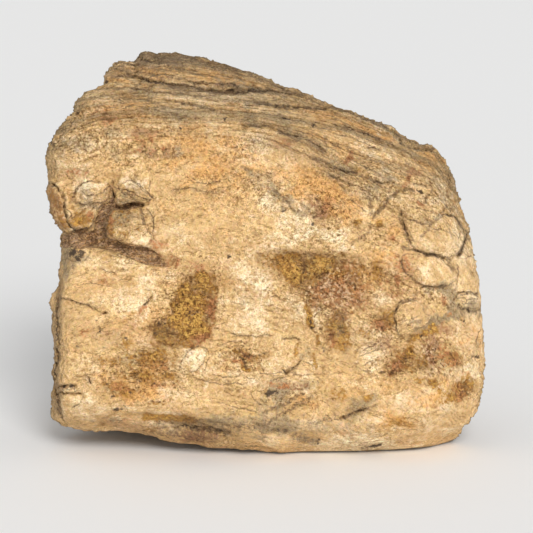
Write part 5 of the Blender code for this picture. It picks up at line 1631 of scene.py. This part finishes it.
def add_camera(look):
    """The eye, in front of the face and square to it."""
    camera = bpy.data.cameras.new("eye")
    camera.lens = look.lens
    camera.sensor_width = SENSOR_WIDTH
    camera.sensor_fit = "HORIZONTAL"
    obj = bpy.data.objects.new("eye", camera)
    bpy.context.scene.collection.objects.link(obj)
    obj.matrix_world = aimed(
        face_point(0, 0, AIM_DEPTH - VIEW_DISTANCE), face_point(0, 0, AIM_DEPTH))
    bpy.context.scene.camera = obj


class STONE_OT_carve(bpy.types.Operator):
    """Carve the petrified wood's surface from its solid and stain it"""

    bl_idname = "stone.carve"
    bl_label = "Carve stone"

    def execute(self, context):
        if NODE not in frame["nodes"]:
            raise RuntimeError("the frame has no solid to carve")
        stone = carve(context.scene.stone_sizes)
        paint(stone)
        stone.data.materials.append(stone_finish(context.scene.stone_colours))
        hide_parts(NODE)
        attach(stone, BODY)
        return {"FINISHED"}


class STONE_OT_stage(bpy.types.Operator):
    """Add the pale floor, the soft lights and the camera"""

    bl_idname = "stone.stage"
    bl_label = "Set up stage"

    def execute(self, context):
        scene, look = context.scene, context.scene.stone_stage
        bpy.ops.object.select_all(action="DESELECT")
        bpy.ops.mesh.primitive_plane_add(size=look.floor_size, location=(0, 0, -FLOOR_GAP))
        floor = context.active_object
        floor.name = "floor"
        floor.data.materials.append(plain_material("pale floor", look.floor_colour, 0.9))
        world = bpy.data.worlds.new("surroundings")
        world.use_nodes = True
        background = world.node_tree.nodes["Background"]
        background.inputs["Color"].default_value = (1.0, 1.0, 1.0, 1.0)
        background.inputs["Strength"].default_value = look.world_strength
        scene.world = world
        sun("key light", KEY_FROM, look.key_strength, look.key_softness)
        sun("fill light", FILL_FROM, look.fill_strength, look.key_softness)
        scene.view_settings.view_transform = "Standard"
        add_camera(look)
        return {"FINISHED"}


class STONE_PT_panel(bpy.types.Panel):
    """Lists the steps that make the stone"""

    bl_label = "Petrified wood"
    bl_idname = "STONE_PT_panel"
    bl_space_type = "VIEW_3D"
    bl_region_type = "UI"
    bl_category = "Petrified wood"

    def draw(self, context):
        layout = self.layout
        for operator, settings in (
                (STONE_OT_carve, (context.scene.stone_sizes, context.scene.stone_colours)),
                (STONE_OT_stage, (context.scene.stone_stage,))):
            layout.operator(operator.bl_idname)
            for group in settings:
                for name in group.bl_rna.properties.keys():
                    if name not in ("rna_type", "name"):
                        layout.prop(group, name)


CLASSES = (StoneSizes, StoneColours, StageLook, STONE_OT_carve, STONE_OT_stage, STONE_PT_panel)


def register():
    """Add the classes and the settings to the scene."""
    for cls in CLASSES:
        bpy.utils.register_class(cls)
    bpy.types.Scene.stone_sizes = PointerProperty(type=StoneSizes)
    bpy.types.Scene.stone_colours = PointerProperty(type=StoneColours)
    bpy.types.Scene.stone_stage = PointerProperty(type=StageLook)


def unregister():
    """Take them out again."""
    del bpy.types.Scene.stone_stage
    del bpy.types.Scene.stone_colours
    del bpy.types.Scene.stone_sizes
    for cls in reversed(CLASSES):
        bpy.utils.unregister_class(cls)


def main():
    """Make the stone and its stage."""
    register()
    bpy.ops.stone.carve()
    bpy.ops.stone.stage()


if __name__ == "__main__":
    main()
